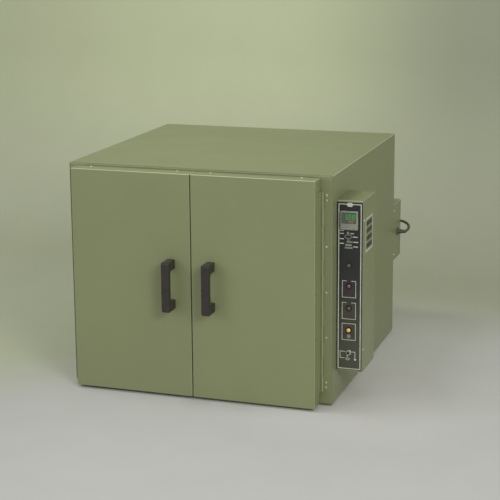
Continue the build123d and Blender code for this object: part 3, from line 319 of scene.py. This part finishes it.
GREEN = enamel("oven_enamel", tone(128, 134, 97), bend_highlight_strength=0.55)
STEEL = brushed("liner_sheet", tone(176, 176, 170), 0.38, (30, 1, 1))
PLATED = brushed("zinc_plate", tone(205, 203, 190), 0.3, (1, 1, 6))
WIRE = brushed("plated_wire", tone(205, 205, 203), 0.18, (1, 1, 1))
CHROME = brushed("polished_chrome", tone(222, 222, 220), 0.1, (1, 1, 1))
SHEATH = brushed("heater_sheath", tone(98, 92, 88), 0.45, (1, 20, 1))
ALUMINIUM = brushed("wheel_sheet", tone(196, 196, 194), 0.36, (1, 20, 1))
BRASS = brushed("plug_brass", tone(206, 176, 108), 0.25, (20, 1, 1))
HANDLE = moulding("handle_moulding", tone(46, 40, 38), 0.3, 0.00005)
DARK = moulding("dark_moulding", tone(26, 26, 26), 0.42)
BEZEL = moulding("controller_moulding", tone(138, 142, 126), 0.4)
KEY = moulding("key_moulding", tone(150, 153, 142), 0.45)
PANEL = panel_film()
GLOSS = moulding("gloss_black", tone(20, 20, 20), 0.2, 0.00001)
OLIVE = moulding("button_moulding", tone(92, 96, 70), 0.3, 0.00002)
TERMINAL = moulding("terminal_moulding", tone(214, 208, 188), 0.5)
CONDUIT = moulding("conduit_moulding", tone(108, 108, 106), 0.5)
MOTOR = enamel("motor_enamel", tone(50, 53, 55), 0.45)
RUBBER = rubbery("cord_sheath", tone(80, 76, 61), 0.5)
PAD = rubbery("pad_rubber", tone(28, 28, 27), 0.7)
SEAL = rubbery("door_seal", tone(46, 42, 40), 0.55)
WOOL = wool("mineral_wool", tone(196, 186, 140))
PRINT = moulding("print_white", tone(196, 199, 187), 0.5, 0.00001)
PRINT_GREY = moulding("print_grey", tone(132, 142, 122), 0.5, 0.00001)
PRINT_DARK = moulding("print_dark", tone(38, 40, 33), 0.45, 0.00001)
TINT_MAROON = moulding("tint_maroon", tone(54, 44, 47), 0.4, 0.00001)
TINT_BROWN = moulding("tint_brown", tone(66, 63, 52), 0.4, 0.00001)
DOOR_SCREW = door_screw()
SCREW = brushed("screw_zinc", tone(226, 226, 206), 0.42, (1, 1, 3), 0.35)
# Painted shade: the dark of the screws' cross recesses.
RECESS_SHADE = moulding("recess_shadow", tone(40, 40, 38), 0.6)
WINDOW = glow("display_window", tone(74, 84, 70), rough=0.12)
DIGIT_GREEN = glow("digit_green", tone(44, 120, 52), tone(60, 190, 80), 0.4)
DIGIT_RED = glow("digit_red", tone(170, 78, 66), tone(235, 100, 80), 0.4)
LENS_MAROON = glow("lens_maroon", tone(112, 84, 90))
LENS_BROWN = glow("lens_brown", tone(94, 86, 70))
LENS_AMBER = glow("lens_amber", tone(214, 170, 88), tone(235, 190, 100), 0.35)

DRESS = {
    "outer_case": GREEN, "front_frame": GREEN, "back_panel": GREEN, "base_pan": GREEN, "feet": PAD,
    "insulation": WOOL, "chamber_liner": STEEL, "duct_wall": STEEL, "shelf_racks": STEEL,
    "wire_shelves": WIRE, "heaters": SHEATH, "frame_leaves": GREEN, "hinge_pins": PLATED,
    "door_catches": DARK, "cabinet_screws": SCREW,
    "control_chassis": GREEN, "control_cover": GREEN, "face_plate": PANEL, "controller_body": BEZEL,
    "controller_window": WINDOW, "reset_collar": GLOSS, "reset_button": OLIVE, "lamp_bodies": GLOSS,
    "lamp_lenses": LENS_MAROON, "toggle_body": PLATED, "toggle_lever": CHROME, "contactor": DARK,
    "terminal_blocks": TERMINAL, "probes": PLATED, "conduit": CONDUIT, "rear_housing": GREEN,
    "housing_brackets": GREEN, "shaft_sleeve": PLATED, "blower_wheel": ALUMINIUM, "fan_shaft": PLATED,
    "motor_mount": PLATED, "motor": MOTOR, "cord_gland": RUBBER, "power_cord": RUBBER, "cord_coil": RUBBER,
    "power_plug": RUBBER,
}
for number in range(1, 5):
    DRESS[f"controller_key_{number}"] = KEY
for side in ("left", "right"):
    DRESS.update({f"{side}_outer_pan": GREEN, f"{side}_inner_pan": GREEN, f"{side}_door_core": WOOL,
                  f"{side}_door_gasket": SEAL, f"{side}_door_handle": HANDLE, f"{side}_door_leaf": GREEN,
                  f"{side}_door_screws": DOOR_SCREW})
for name, node in nodes.items():
    node.data.materials.clear()
    node.data.materials.append(DRESS[name])


# Pieces

def circle(one, two, sides):
    """The points of a circle of radius 1 in the plane of the unit vectors one and two."""
    angles = [2 * math.pi * k / sides for k in range(sides)]
    return [one * math.cos(angle) + two * math.sin(angle) for angle in angles]


class Build:
    """Collects the faces of one piece, in the material that index names."""

    def __init__(self):
        self.mesh = bmesh.new()
        self.index = 0

    def face(self, corners):
        self.mesh.faces.new(corners).material_index = self.index

    def box(self, low, high, bevel=0.0):
        """A box between two corners, with its edges bevelled."""
        made = bmesh.ops.create_cube(self.mesh, size=1)["verts"]
        low, high = Vector(low), Vector(high)
        for vert in made:
            vert.co = Vector([(low[k] + high[k]) / 2 + vert.co[k] * (high[k] - low[k]) for k in range(3)])
        faces = {face for vert in made for face in vert.link_faces}
        for face in faces:
            face.material_index = self.index
        if bevel:
            edges = list({edge for vert in made for edge in vert.link_edges})
            bmesh.ops.bevel(self.mesh, geom=edges, offset=bevel, segments=2, affect="EDGES", profile=0.6)

    def outline(self, points, depth):
        """A flat shape through points, raised by the vector depth."""
        base = [self.mesh.verts.new(Vector(point)) for point in points]
        top = [self.mesh.verts.new(Vector(point) + depth) for point in points]
        count = len(points)
        self.face(top)
        self.face(base[::-1])
        for k in range(count):
            after = (k + 1) % count
            self.face((base[k], base[after], top[after], top[k]))

    def tube(self, points, radii, sides=16):
        """A closed tube along points, whose radius goes through radii."""
        rings = []
        side = Vector((0, 0, 1))
        for k, point in enumerate(points):
            ahead = (points[min(k + 1, len(points) - 1)] - points[max(k - 1, 0)]).normalized()
            side = (side - ahead * side.dot(ahead)).normalized()
            way = circle(side, ahead.cross(side), sides)
            rings.append([self.mesh.verts.new(point + out * radii[k]) for out in way])
        for one, two in zip(rings, rings[1:]):
            for j in range(sides):
                after = (j + 1) % sides
                self.face((one[j], one[after], two[after], two[j]))
        self.face(rings[0][::-1])
        self.face(rings[-1])

    def lathe(self, profile, origin, axis, sides=32):
        """A turned shape: profile is (radius, height) along axis, from the axis and back to it."""
        axis = Vector(axis).normalized()
        side = axis.orthogonal().normalized()
        way = circle(side, axis.cross(side), sides)
        rings = []
        for radius, height in profile:
            centre = Vector(origin) + axis * height
            spread = way if radius else [Vector()]
            rings.append([self.mesh.verts.new(centre + out * radius) for out in spread])
        for one, two in zip(rings, rings[1:]):
            for j in range(sides):
                after = (j + 1) % sides
                if len(one) == 1:
                    self.face((one[0], two[after], two[j]))
                elif len(two) == 1:
                    self.face((one[j], one[after], two[0]))
                else:
                    self.face((one[j], one[after], two[after], two[j]))

    def done(self, name, materials, body, smooth=True):
        """Makes the piece from one material or a list of them, riding on body."""
        bmesh.ops.recalc_face_normals(self.mesh, faces=self.mesh.faces)
        data = bpy.data.meshes.new(name)
        self.mesh.to_mesh(data)
        self.mesh.free()
        for material in materials if isinstance(materials, list) else [materials]:
            data.materials.append(material)
        piece = placed(name, data)
        if smooth:
            data.polygons.foreach_set("use_smooth", [True] * len(data.polygons))
            data.set_sharp_from_angle(angle=math.radians(38))
        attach(piece, body)
        return piece


# Supply cord

CORD = 0.009
GLAND_TIP = (429, 868.5, 345)
COIL_X, COIL_Y = 190, 892
COIL_TURNS = 3.5
POINTS_PER_TURN = 16


def cord_points():
    """The route of part.py from the gland's tip, then the turns of the coil and the way to the plug."""
    x0, y0, z0 = GLAND_TIP
    route = [
        (x0, y0, z0), (x0 + 14, y0, z0), (x0 + 25, y0 + 13, z0 + 3), (x0 + 25, y0 + 38, z0 + 9),
        (x0 + 14, y0 + 62, z0 + 16), (x0 - 9, y0 + 77, z0 + 21), (x0 - 37, y0 + 80, z0 + 22),
        (x0 - 65, y0 + 80, z0 + 15), (x0 - 88, y0 + 79.5, z0 - 3), (x0 - 104, y0 + 79, z0 - 29),
        (x0 - 114, y0 + 79, z0 - 63), (x0 - 121, y0 + 79, z0 - 105), (x0 - 127, y0 + 79.5, z0 - 153),
        (x0 - 132, y0 + 79, z0 - 201), (x0 - 139, y0 + 79.5, z0 - 245), (x0 - 151, y0 + 79, z0 - 280),
        (x0 - 170, y0 + 79.5, z0 - 305), (x0 - 196, y0 + 79.5, z0 - 319), (x0 - 225, y0 + 81, z0 - 326),
    ]
    # An upper layer that winds inwards, then a lower one that winds out; a curve of this order cuts its
    # corners a little, so its points lie on slightly larger circles
    for k in range(1, int(COIL_TURNS * POINTS_PER_TURN) + 1):
        turn = k / POINTS_PER_TURN
        drop = min(max((turn - 1.5) / 0.25, 0), 1)
        radius = (62 - 9.3 * turn if turn < 1.5 else 48 + 9.3 * max(turn - 1.75, 0)) / 0.981
        angle = math.pi / 2 + 2 * math.pi * turn
        x, y = COIL_X + radius * math.cos(angle), COIL_Y + radius * math.sin(angle)
        route.append((x, y, 13.8 - 9.2 * drop))
    route.append((COIL_X + 24, COIL_Y - 65, 4.6))
    route.append((COIL_X + 48, COIL_Y - 60, 4.7))
    route.append((COIL_X + 74, COIL_Y - 56, 5.5))
    return [at(*point) for point in route]


def make_cord():
    """The soft cord, as a round curve through the route."""
    points = cord_points()
    data = bpy.data.curves.new("supply_cord", "CURVE")
    data.dimensions = "3D"
    data.bevel_depth = CORD / 2
    data.bevel_resolution = 5
    data.resolution_u = 6
    data.use_fill_caps = True
    spline = data.splines.new("NURBS")
    spline.points.add(len(points) - 1)
    for point, place in zip(spline.points, points):
        point.co = (*place, 1)
    spline.order_u = 3
    spline.use_endpoint_u = True
    data.materials.append(RUBBER)
    cord = placed("supply_cord", data)
    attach(cord, "cabinet")
    return cord


def make_boot():
    """The moulded strain relief on the cord's first run, with grooves."""
    x, y, z = GLAND_TIP
    line = [at(x + k * 1.2, y, z) for k in range(12)]
    line += [at(x + 16.7, y + 1, z + 0.1), at(x + 20, y + 4, z + 0.7)]
    radii = [0.0088 - 0.00026 * k - (0.0011 if k % 3 == 1 and 2 < k < 12 else 0) for k in range(14)]
    boot = Build()
    boot.tube(line, radii, 28)
    return boot.done("cord_boot", RUBBER, "cabinet")


def make_plug():
    """The moulded plug: ribbed neck, rounded body with finger grooves, two flat blades and an earth pin."""
    y = COIL_Y - 56
    plug = Build()
    start, end = at(COIL_X + 71, y, 4.9), at(COIL_X + 98, y, 12.6)
    line = [start.lerp(end, k / 12) for k in range(13)]
    radii = [0.0051 + 0.00035 * k - (0.0009 if k % 3 == 1 else 0) for k in range(13)]
    plug.tube(line, radii, 24)
    plug.box(at(COIL_X + 95.5, y - 14.6, 0.3), at(COIL_X + 135.7, y + 14.6, 25.6), 0.0042)
    for k in range(4):
        x = COIL_X + 104 + 6 * k
        plug.box(at(x, y - 15.0, 6), at(x + 2.6, y + 15.0, 20), 0.0004)
    plug.index = 1
    for side in (-1, 1):
        line = y + side * 6.3
        plug.box(at(COIL_X + 135, line - 0.75, 12.9), at(COIL_X + 153.8, line + 0.75, 19.1), 0.0003)
    earth_pin = [(0, 0), (2.35e-3, 0), (2.35e-3, 0.0165), (1.4e-3, 0.0189), (0, 0.0189)]
    plug.lathe(earth_pin, at(COIL_X + 135, y, 6), (1, 0, 0), 24)
    piece = plug.done("supply_plug", [RUBBER, BRASS], "cabinet")
    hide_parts("power_plug")
    return piece


def make_tie(name, degrees):
    """A hook-and-loop strap over the coil, tucked under its inner and outer turns."""
    angle = math.radians(degrees)
    out = Vector((math.cos(angle), math.sin(angle), 0))
    along = Vector((-math.sin(angle), math.cos(angle), 0)) * 0.006
    centre = at(COIL_X, COIL_Y, 0)
    shape = [(42.6, 1.5), (42.6, 16.5), (44.5, 18.9), (47, 19.3), (63, 19.3), (65.5, 18.9), (68.6, 15),
             (68.6, 1.5)]
    inner = [(r - (0.9 if r > 55 else -0.9), z - (0.9 if z > 16 else 0)) for r, z in shape]
    loop = [centre + out * (r / 1000) + Vector((0, 0, z / 1000)) for r, z in shape + inner[::-1]]
    tie = Build()
    tie.outline([point - along for point in loop], along * 2)
    return tie.done(name, RUBBER, "cabinet", False)


cord = make_cord()
boot = make_boot()
plug = make_plug()
ties = [make_tie("cord_tie_1", 160), make_tie("cord_tie_2", 20)]
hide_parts("power_cord", "cord_coil")


# Stage and light

FLOOR = tone(187, 188, 184)
FLOOR_LEFT = tone(177, 178, 174)
# A pale colour for painted light on the floor next to the oven's right side.
PAINTED_LIGHT_POOL = tone(211, 210, 206)
WALL_LEFT = tone(183, 189, 158)
WALL_MIDDLE = tone(196, 203, 168)
WALL_RIGHT = tone(155, 161, 138)
LOW_LEFT = tone(175, 180, 156)
LOW_RIGHT = tone(164, 168, 146)
STAGE_FRONT, STAGE_HALF_WIDTH, STAGE_TOP = -9.0, 7.0, 4.5
SWEEP_START, SWEEP_RADIUS = 1.15, 0.8
STAGE_DROP = 0.0004


def bench_surface():
    """Pale grey near the camera and pale green behind, with the soft light and dark places of the photo."""
    paint = Paint("bench_surface", FLOOR, 0.85)
    depth = paint.axis("Y")
    height = paint.axis("Z")
    across = paint.axis("X")
    left = across.ramp(-2.0, -0.9)
    right = across.ramp(-0.55, 0.45)
    wall = paint.mixed(right, paint.mixed(left, WALL_LEFT, WALL_MIDDLE), WALL_RIGHT)
    low = paint.mixed(across.ramp(-1.6, 0.6), LOW_LEFT, LOW_RIGHT)
    wall = paint.mixed(height.ramp(0.1, 0.75), low, wall)
    fade = (depth - (across + 0.7) * 0.72).ramp(-0.85, -0.1)
    # Painted light: a pale patch on the floor next to the oven's right side, lightening the oven's shadow
    # there.
    painted_light_share = across.ramp(-0.1, 0.35) * across.ramp(0.95, 0.45)
    painted_light_share = painted_light_share * depth.ramp(-0.75, -0.25) * depth.ramp(0.95, 0.25)
    speck = paint.noise(7.0, 3.0)
    ground = paint.mixed(fade, paint.mixed(across.ramp(-0.8, 0.0), FLOOR_LEFT, FLOOR), wall)
    ground = paint.mixed(painted_light_share * 0.9, ground, PAINTED_LIGHT_POOL)
    paint.put("Base Color", paint.mixed(speck.ramp(0.35, 0.65) * 0.025, ground, tone(120, 118, 104)))
    facing = paint.node("ShaderNodeNewGeometry", out="Backfacing")
    clear = paint.node("ShaderNodeBsdfTransparent")
    mixed = paint.node("ShaderNodeMixShader", (facing, Value(paint, paint.shader.outputs[0]), clear))
    paint.feed(paint.tree.nodes["Material Output"].inputs["Surface"], mixed)
    return paint.material


def make_stage():
    """A bench top that sweeps up into a backdrop, which is clear when it is seen from behind."""
    profile = [(STAGE_FRONT, 0.0), (SWEEP_START, 0.0)]
    for k in range(1, 13):
        angle = math.pi / 2 * k / 12
        profile.append((SWEEP_START + SWEEP_RADIUS * math.sin(angle), SWEEP_RADIUS * (1 - math.cos(angle))))
    profile.append((SWEEP_START + SWEEP_RADIUS, STAGE_TOP))
    sweep = bmesh.new()
    rows = []
    for y, z in profile:
        rows.append([sweep.verts.new((x, y, z - STAGE_DROP)) for x in (-STAGE_HALF_WIDTH, STAGE_HALF_WIDTH)])
    for one, two in zip(rows, rows[1:]):
        sweep.faces.new((one[0], one[1], two[1], two[0]))
    data = bpy.data.meshes.new("bench_top")
    sweep.to_mesh(data)
    sweep.free()
    data.materials.append(bench_surface())
    data.polygons.foreach_set("use_smooth", [True] * len(data.polygons))
    placed("bench_top", data)


def lamp(name, place, aim, watts, size, color=(1, 1, 1)):
    """A round soft lamp at place, turned to aim; the camera doesn't see it."""
    data = bpy.data.lights.new(name, "AREA")
    data.shape = "DISK"
    data.size = size
    data.energy = watts
    data.color = color
    made = placed(name, data)
    made.location = place
    made.visible_camera = False
    made.rotation_euler = (Vector(aim) - Vector(place)).to_track_quat("-Z", "Y").to_euler()


make_stage()
world = bpy.data.worlds.new("soft_room")
world.use_nodes = True
background = world.node_tree.nodes["Background"]
background.inputs["Color"].default_value = (1, 1, 0.985, 1)
background.inputs["Strength"].default_value = 0.55
bpy.context.scene.world = world
lamp("key", (3.0, -3.6, 2.7), (0, 0, 0.35), 92, 1.8, (1, 0.99, 0.965))
lamp("fill", (-2.6, -3.4, 1.7), (0, 0, 0.35), 26, 1.8)
lamp("back", (-1.6, 4.6, 2.6), (0, 0.3, 0.3), 75, 1.8)
lamp("overhead", (-0.9, -0.6, 3.3), (0, 0, 0.6), 27, 1.0)
bpy.context.scene.view_settings.view_transform = "Standard"


# Control panel, in the drawing's millimetres

FACE = 43.0
PANEL_X = 457.6
LAMP_LEVELS = (228.0, 295.5, 363.0)
LAMP_FACE = 42.0
WINDOW_FACE = 35.02
KEY_FACE = 33.23
KEY_LEVEL = 541.9
FIRST_KEY_X, KEY_STEP = 441.1, 11.0
FILM = Vector((0, -0.00012, 0))


def ring_points(x, y, z, wide, high, sides):
    """Points of an ellipse that stands in the panel's plane, with the first one again at the end."""
    angles = [2 * math.pi * k / sides for k in range(sides + 1)]
    return [at(x + wide * math.cos(angle), y, z + high * math.sin(angle)) for angle in angles]


def print_piece():
    """Line work of the face plate, as thin raised film."""
    film = Build()

    def patch(left, right, low, high, index=0, proud=0.12):
        """A bar or field of film."""
        film.index = index
        film.box(at(left, FACE - proud, low), at(right, FACE + 0.05, high))

    def frame_line(left, right, low, high, line, gap=None):
        """A frame, which may have a gap in the middle of its top."""
        patch(left, left + line, low, high)
        patch(right - line, right, low, high)
        patch(left + line, right - line, low, low + line)
        if gap:
            middle = (left + right) / 2
            patch(left + line, middle - gap / 2, high - line, high)
            patch(middle + gap / 2, right - line, high - line, high)
        else:
            patch(left + line, right - line, high - line, high)

    frame_line(424.2, 494.0, 106.5, 611.5, 2.7)
    for low, tint, gap in ((327.5, 2, 14), (261.0, 3, 14), (196.5, 3, None)):
        patch(PANEL_X - 20.5, PANEL_X + 20.5, low + 1, low + 51, tint, 0.06)
        frame_line(PANEL_X - 21.3, PANEL_X + 21.3, low, low + 52, 1.7, gap)
    # legends: plain bars on both sides of the column of symbols
    for low in (529.5, 520.5, 504.5, 490.5):
        patch(PANEL_X - 29.5, PANEL_X - 16.5, low, low + 2.6)
    for left, right, low in ((3.5, 14, 521.5), (10.0, 25, 511.5), (12.0, 27, 496.0), (11.5, 26, 482.0)):
        patch(PANEL_X + left, PANEL_X + right, low, low + 2.6)
    patch(PANEL_X - 12, PANEL_X + 7, 484.5, 491.0, 1)
    patch(PANEL_X - 14, PANEL_X + 10, 477.0, 481.5, 1)
    patch(PANEL_X - 8, PANEL_X + 10, 495.0, 499.5, 1)
    # bracket lines round the switch
    patch(PANEL_X - 27, PANEL_X - 25.2, 141.5, 161.5)
    patch(PANEL_X - 25.2, PANEL_X - 10, 159.7, 161.5)
    patch(PANEL_X - 27, PANEL_X - 10.5, 139.7, 141.5)
    patch(PANEL_X + 9, PANEL_X + 20.5, 159.7, 161.5)
    patch(PANEL_X + 18.7, PANEL_X + 20.5, 142, 159.7)

    def ring(x, z, wide, high, line, index=0):
        """An elliptic line, in 24 pieces."""
        film.index = index
        outer = ring_points(x, FACE, z, wide, high, 24)
        inner = ring_points(x, FACE, z, wide - line, high - line, 24)
        for k in range(24):
            film.outline([outer[k], outer[k + 1], inner[k + 1], inner[k]], FILM)

    def dot(x, y, z, radius, thick, index):
        film.index = index
        film.lathe([(0, 0), (radius, 0), (radius, thick), (0, thick)], at(x, y, z), (0, -1, 0), 20)

    ring(PANEL_X - 3, 138, 6.2, 4.2, 1.6)
    ring(PANEL_X - 3, 513, 11.5, 6.2, 1.8, 1)
    ring(PANEL_X - 3, 503.0, 4.0, 3.0, 1.4, 1)
    dot(PANEL_X + 20, FACE, 137.5, 3.4e-3, 1.2e-4, 0)
    dot(PANEL_X, FACE - 0.06, 208.5, 6.0e-3, 1.0e-4, 1)
    arrow = [(-9, 523), (-4, 529.5), (1, 523), (-2.5, 523), (-2.5, 519.5), (-5.5, 519.5), (-5.5, 523)]
    film.outline([at(PANEL_X + x, FACE, z) for x, z in arrow[::-1]], FILM)
    film.index = 0
    lozenge = [(-11.3, 0), (-5.5, 6), (5.5, 6), (11.3, 0), (5.5, -6), (-5.5, -6)]
    film.outline([at(PANEL_X + 1 + x, FACE - 0.15, 609 + z) for x, z in lozenge], FILM)
    materials = [PRINT, PRINT_GREY, TINT_MAROON, TINT_BROWN]
    return film.done("panel_print", materials, "cabinet", False)


# The bars of each digit: a is the top one, b to f go round clockwise and g is the middle one
SEGMENTS = {"0": "abcdef", "1": "bc", "2": "abged", "5": "afgcd", "8": "abcdefg"}


def digits(name, text, right, low, high, width, material):
    """Seven-segment digits, right-aligned, inside the display window."""
    shown = Build()
    height = high - low
    line = height * 0.13
    slant = height * 0.12
    middle = (low + high) / 2
    step = width + line * 1.5
    for k, sign in enumerate(text[::-1]):
        x1 = right - k * step
        x0 = x1 - width
        bars = {"a": (x0, x1, high - line, high), "d": (x0, x1, low, low + line),
                "g": (x0, x1, middle - line / 2, middle + line / 2),
                "f": (x0, x0 + line, middle, high), "e": (x0, x0 + line, low, middle),
                "b": (x1 - line, x1, middle, high), "c": (x1 - line, x1, low, middle)}
        for letter in SEGMENTS[sign]:
            left, stop, bottom, top = bars[letter]
            corners = [(left, bottom), (stop, bottom), (stop, top), (left, top)]
            shape = [at(x + slant * (z - low) / height, WINDOW_FACE, z) for x, z in corners]
            shown.outline(shape, FILM)
    return shown.done(name, material, "cabinet", False)


print_piece()
digits("display_large", "128", 475.5, 565.5, 581.0, 9.6, DIGIT_GREEN)
digits("display_small", "150", 470, 556.0, 562.6, 4.4, DIGIT_RED)


def key_symbols():
    """One plain mark on each key: two arrows, a bar and a ring."""
    thick = Vector((0, -0.0001, 0))
    for k in range(4):
        x = FIRST_KEY_X + KEY_STEP * k
        mark = Build()
        if k in (1, 2):
            sign = 1 if k == 2 else -1
            shape = [(-2.2, -1.4 * sign), (2.2, -1.4 * sign), (0, 1.8 * sign)][::sign]
            mark.outline([at(x + across, KEY_FACE, KEY_LEVEL + up) for across, up in shape], thick)
        elif k == 0:
            low, high = KEY_LEVEL - 0.7, KEY_LEVEL + 0.7
            mark.box(at(x - 2.2, KEY_FACE - 0.11, low), at(x + 2.2, KEY_FACE + 0.02, high))
        else:
            inner = ring_points(x, KEY_FACE, KEY_LEVEL, 1.4, 1.4, 16)
            outer = ring_points(x, KEY_FACE, KEY_LEVEL, 2.1, 2.1, 16)
            for turn in range(16):
                mark.outline([inner[turn], outer[turn], outer[turn + 1], inner[turn + 1]], thick)
        mark.done(f"key_symbol_{k + 1}", PRINT_DARK, f"key_{k + 1}_body", False)


key_symbols()


def pilot_lenses():
    """Lens domes in the lamps' bezels; only the lowest lamp is lit."""
    lenses = (("amber", LENS_AMBER), ("brown", LENS_BROWN), ("maroon", LENS_MAROON))
    for level, (name, material) in zip(LAMP_LEVELS, lenses):
        lens = Build()
        profile = [(0, -0.0055)]
        for j in range(9):
            angle = math.pi / 2 * j / 8
            profile.append((0.0001 + 0.0056 * math.sin(angle), -0.0055 + 0.0026 * (1 - math.cos(angle))))
        profile += [(0.0059, -0.0022), (0.0059, 0.0), (0, 0.0)]
        lens.lathe(profile, at(PANEL_X, LAMP_FACE, level), (0, 1, 0), 28)
        piece = lens.done(f"pilot_lens_{name}", material, "cabinet")
        if name == "amber":
            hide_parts("lamp_lenses")


pilot_lenses()


def side_label():
    """The bare printed place on the control box's side: a light frame round four plain dark blocks."""
    film = Build()
    x0, x1 = 498.98, 499.12
    for y0, y1, z0, z1 in ((75, 160, 460, 464.5), (75, 160, 557.5, 562), (75, 79.5, 464.5, 557.5),
                           (155.5, 160, 464.5, 557.5)):
        film.box(at(x0, y0, z0), at(x1, y1, z1))
    film.done("side_label_frame", PRINT, "cabinet", False)
    blocks = Build()
    for k in range(4):
        low = 470 + 22.5 * k
        blocks.box(at(x0, 84, low), at(x1, 151, low + 14.5), 0.00003)
    blocks.done("side_label_blocks", PRINT_DARK, "cabinet", False)


side_label()


# Screws

def cross(build, place, axis):
    """A cross recess, drawn as two dark bars of painted shade just on the screw head."""
    flat = [Vector((1, 0, 0)), Vector((0, 1, 0)), Vector((0, 0, 1))]
    normal = Vector(axis)
    one, two = [way for way in flat if abs(way.dot(normal)) < 0.5]
    tip = at(*place) + normal * 0.00006
    base = at(*place) - normal * 0.0002
    for along, side in ((one + two, one - two), (one - two, one + two)):
        long, short = along * 0.00125, side * 0.00034
        corners = (long + short, long - short, -long - short, -long + short)
        build.outline([base + corner for corner in corners], tip - base)


HEAD_PROFILE = [(0, -0.0003), (0.0032, -0.0003), (0.0032, 0.0008), (0.0029, 0.0014), (0.0019, 0.0019),
                (0, 0.002)]
HEAD_HEIGHT = 2


def pan_heads(name, places, body):
    """Small pan-head screws that stand on places, each with its cross recess."""
    heads = Build()
    for place, axis in places:
        heads.index = 0
        heads.lathe(HEAD_PROFILE, at(*place), axis, 20)
        heads.index = 1
        cross(heads, [place[k] + axis[k] * HEAD_HEIGHT for k in range(3)], axis)
    return heads.done(name, [SCREW, RECESS_SHADE], body)


def recesses(name, places, body):
    """The cross recesses of screws that the CAD frame holds, with the tips of their heads at places."""
    marks = Build()
    for place, axis in places:
        cross(marks, place, axis)
    marks.done(name, RECESS_SHADE, body, False)


HINGE_LEVELS = [73 + 138.5 * k for k in range(5)] + [57.5, 642.5]
cabinet_places = [((side * 400.1, -4, z), (0, -1, 0)) for side in (-1, 1) for z in HINGE_LEVELS]
cabinet_places += [((501, 52, z), (1, 0, 0)) for z in (168, 562)]
cabinet_places += [((x, 820, z), (side, 0, 0)) for x, side in ((421, 1), (-103, -1)) for z in (272, 428)]
recesses("cabinet_recesses", cabinet_places, "cabinet")
for side, body in ((-1, "left_door"), (1, "right_door")):
    places = [((side * 388, -53.2, min(z + 13, 649)), (side, 0, 0)) for z in HINGE_LEVELS]
    places += [((side * x, -28, z), (0, 0, up)) for x in (52.5, 333) for z, up in ((697, 1), (6, -1))]
    recesses(f"{body}_recesses", places, body)
back_places = [((side * 405, 812, z), (0, 1, 0)) for side in (-1, 1) for z in (40, 195, 350, 505, 660)]
back_places += [((x, 812, z), (0, 1, 0)) for x in (-250, -85, 85, 250) for z in (22, 682)]
pan_heads("back_panel_screws", back_places, "cabinet")
duct_places = [((side * 303, 610, z), (0, -1, 0)) for side in (-1, 1) for z in (84, 400, 616)]
duct_places += [((0, 610, z), (0, -1, 0)) for z in (84, 616)]
pan_heads("duct_wall_screws", duct_places, "cabinet")
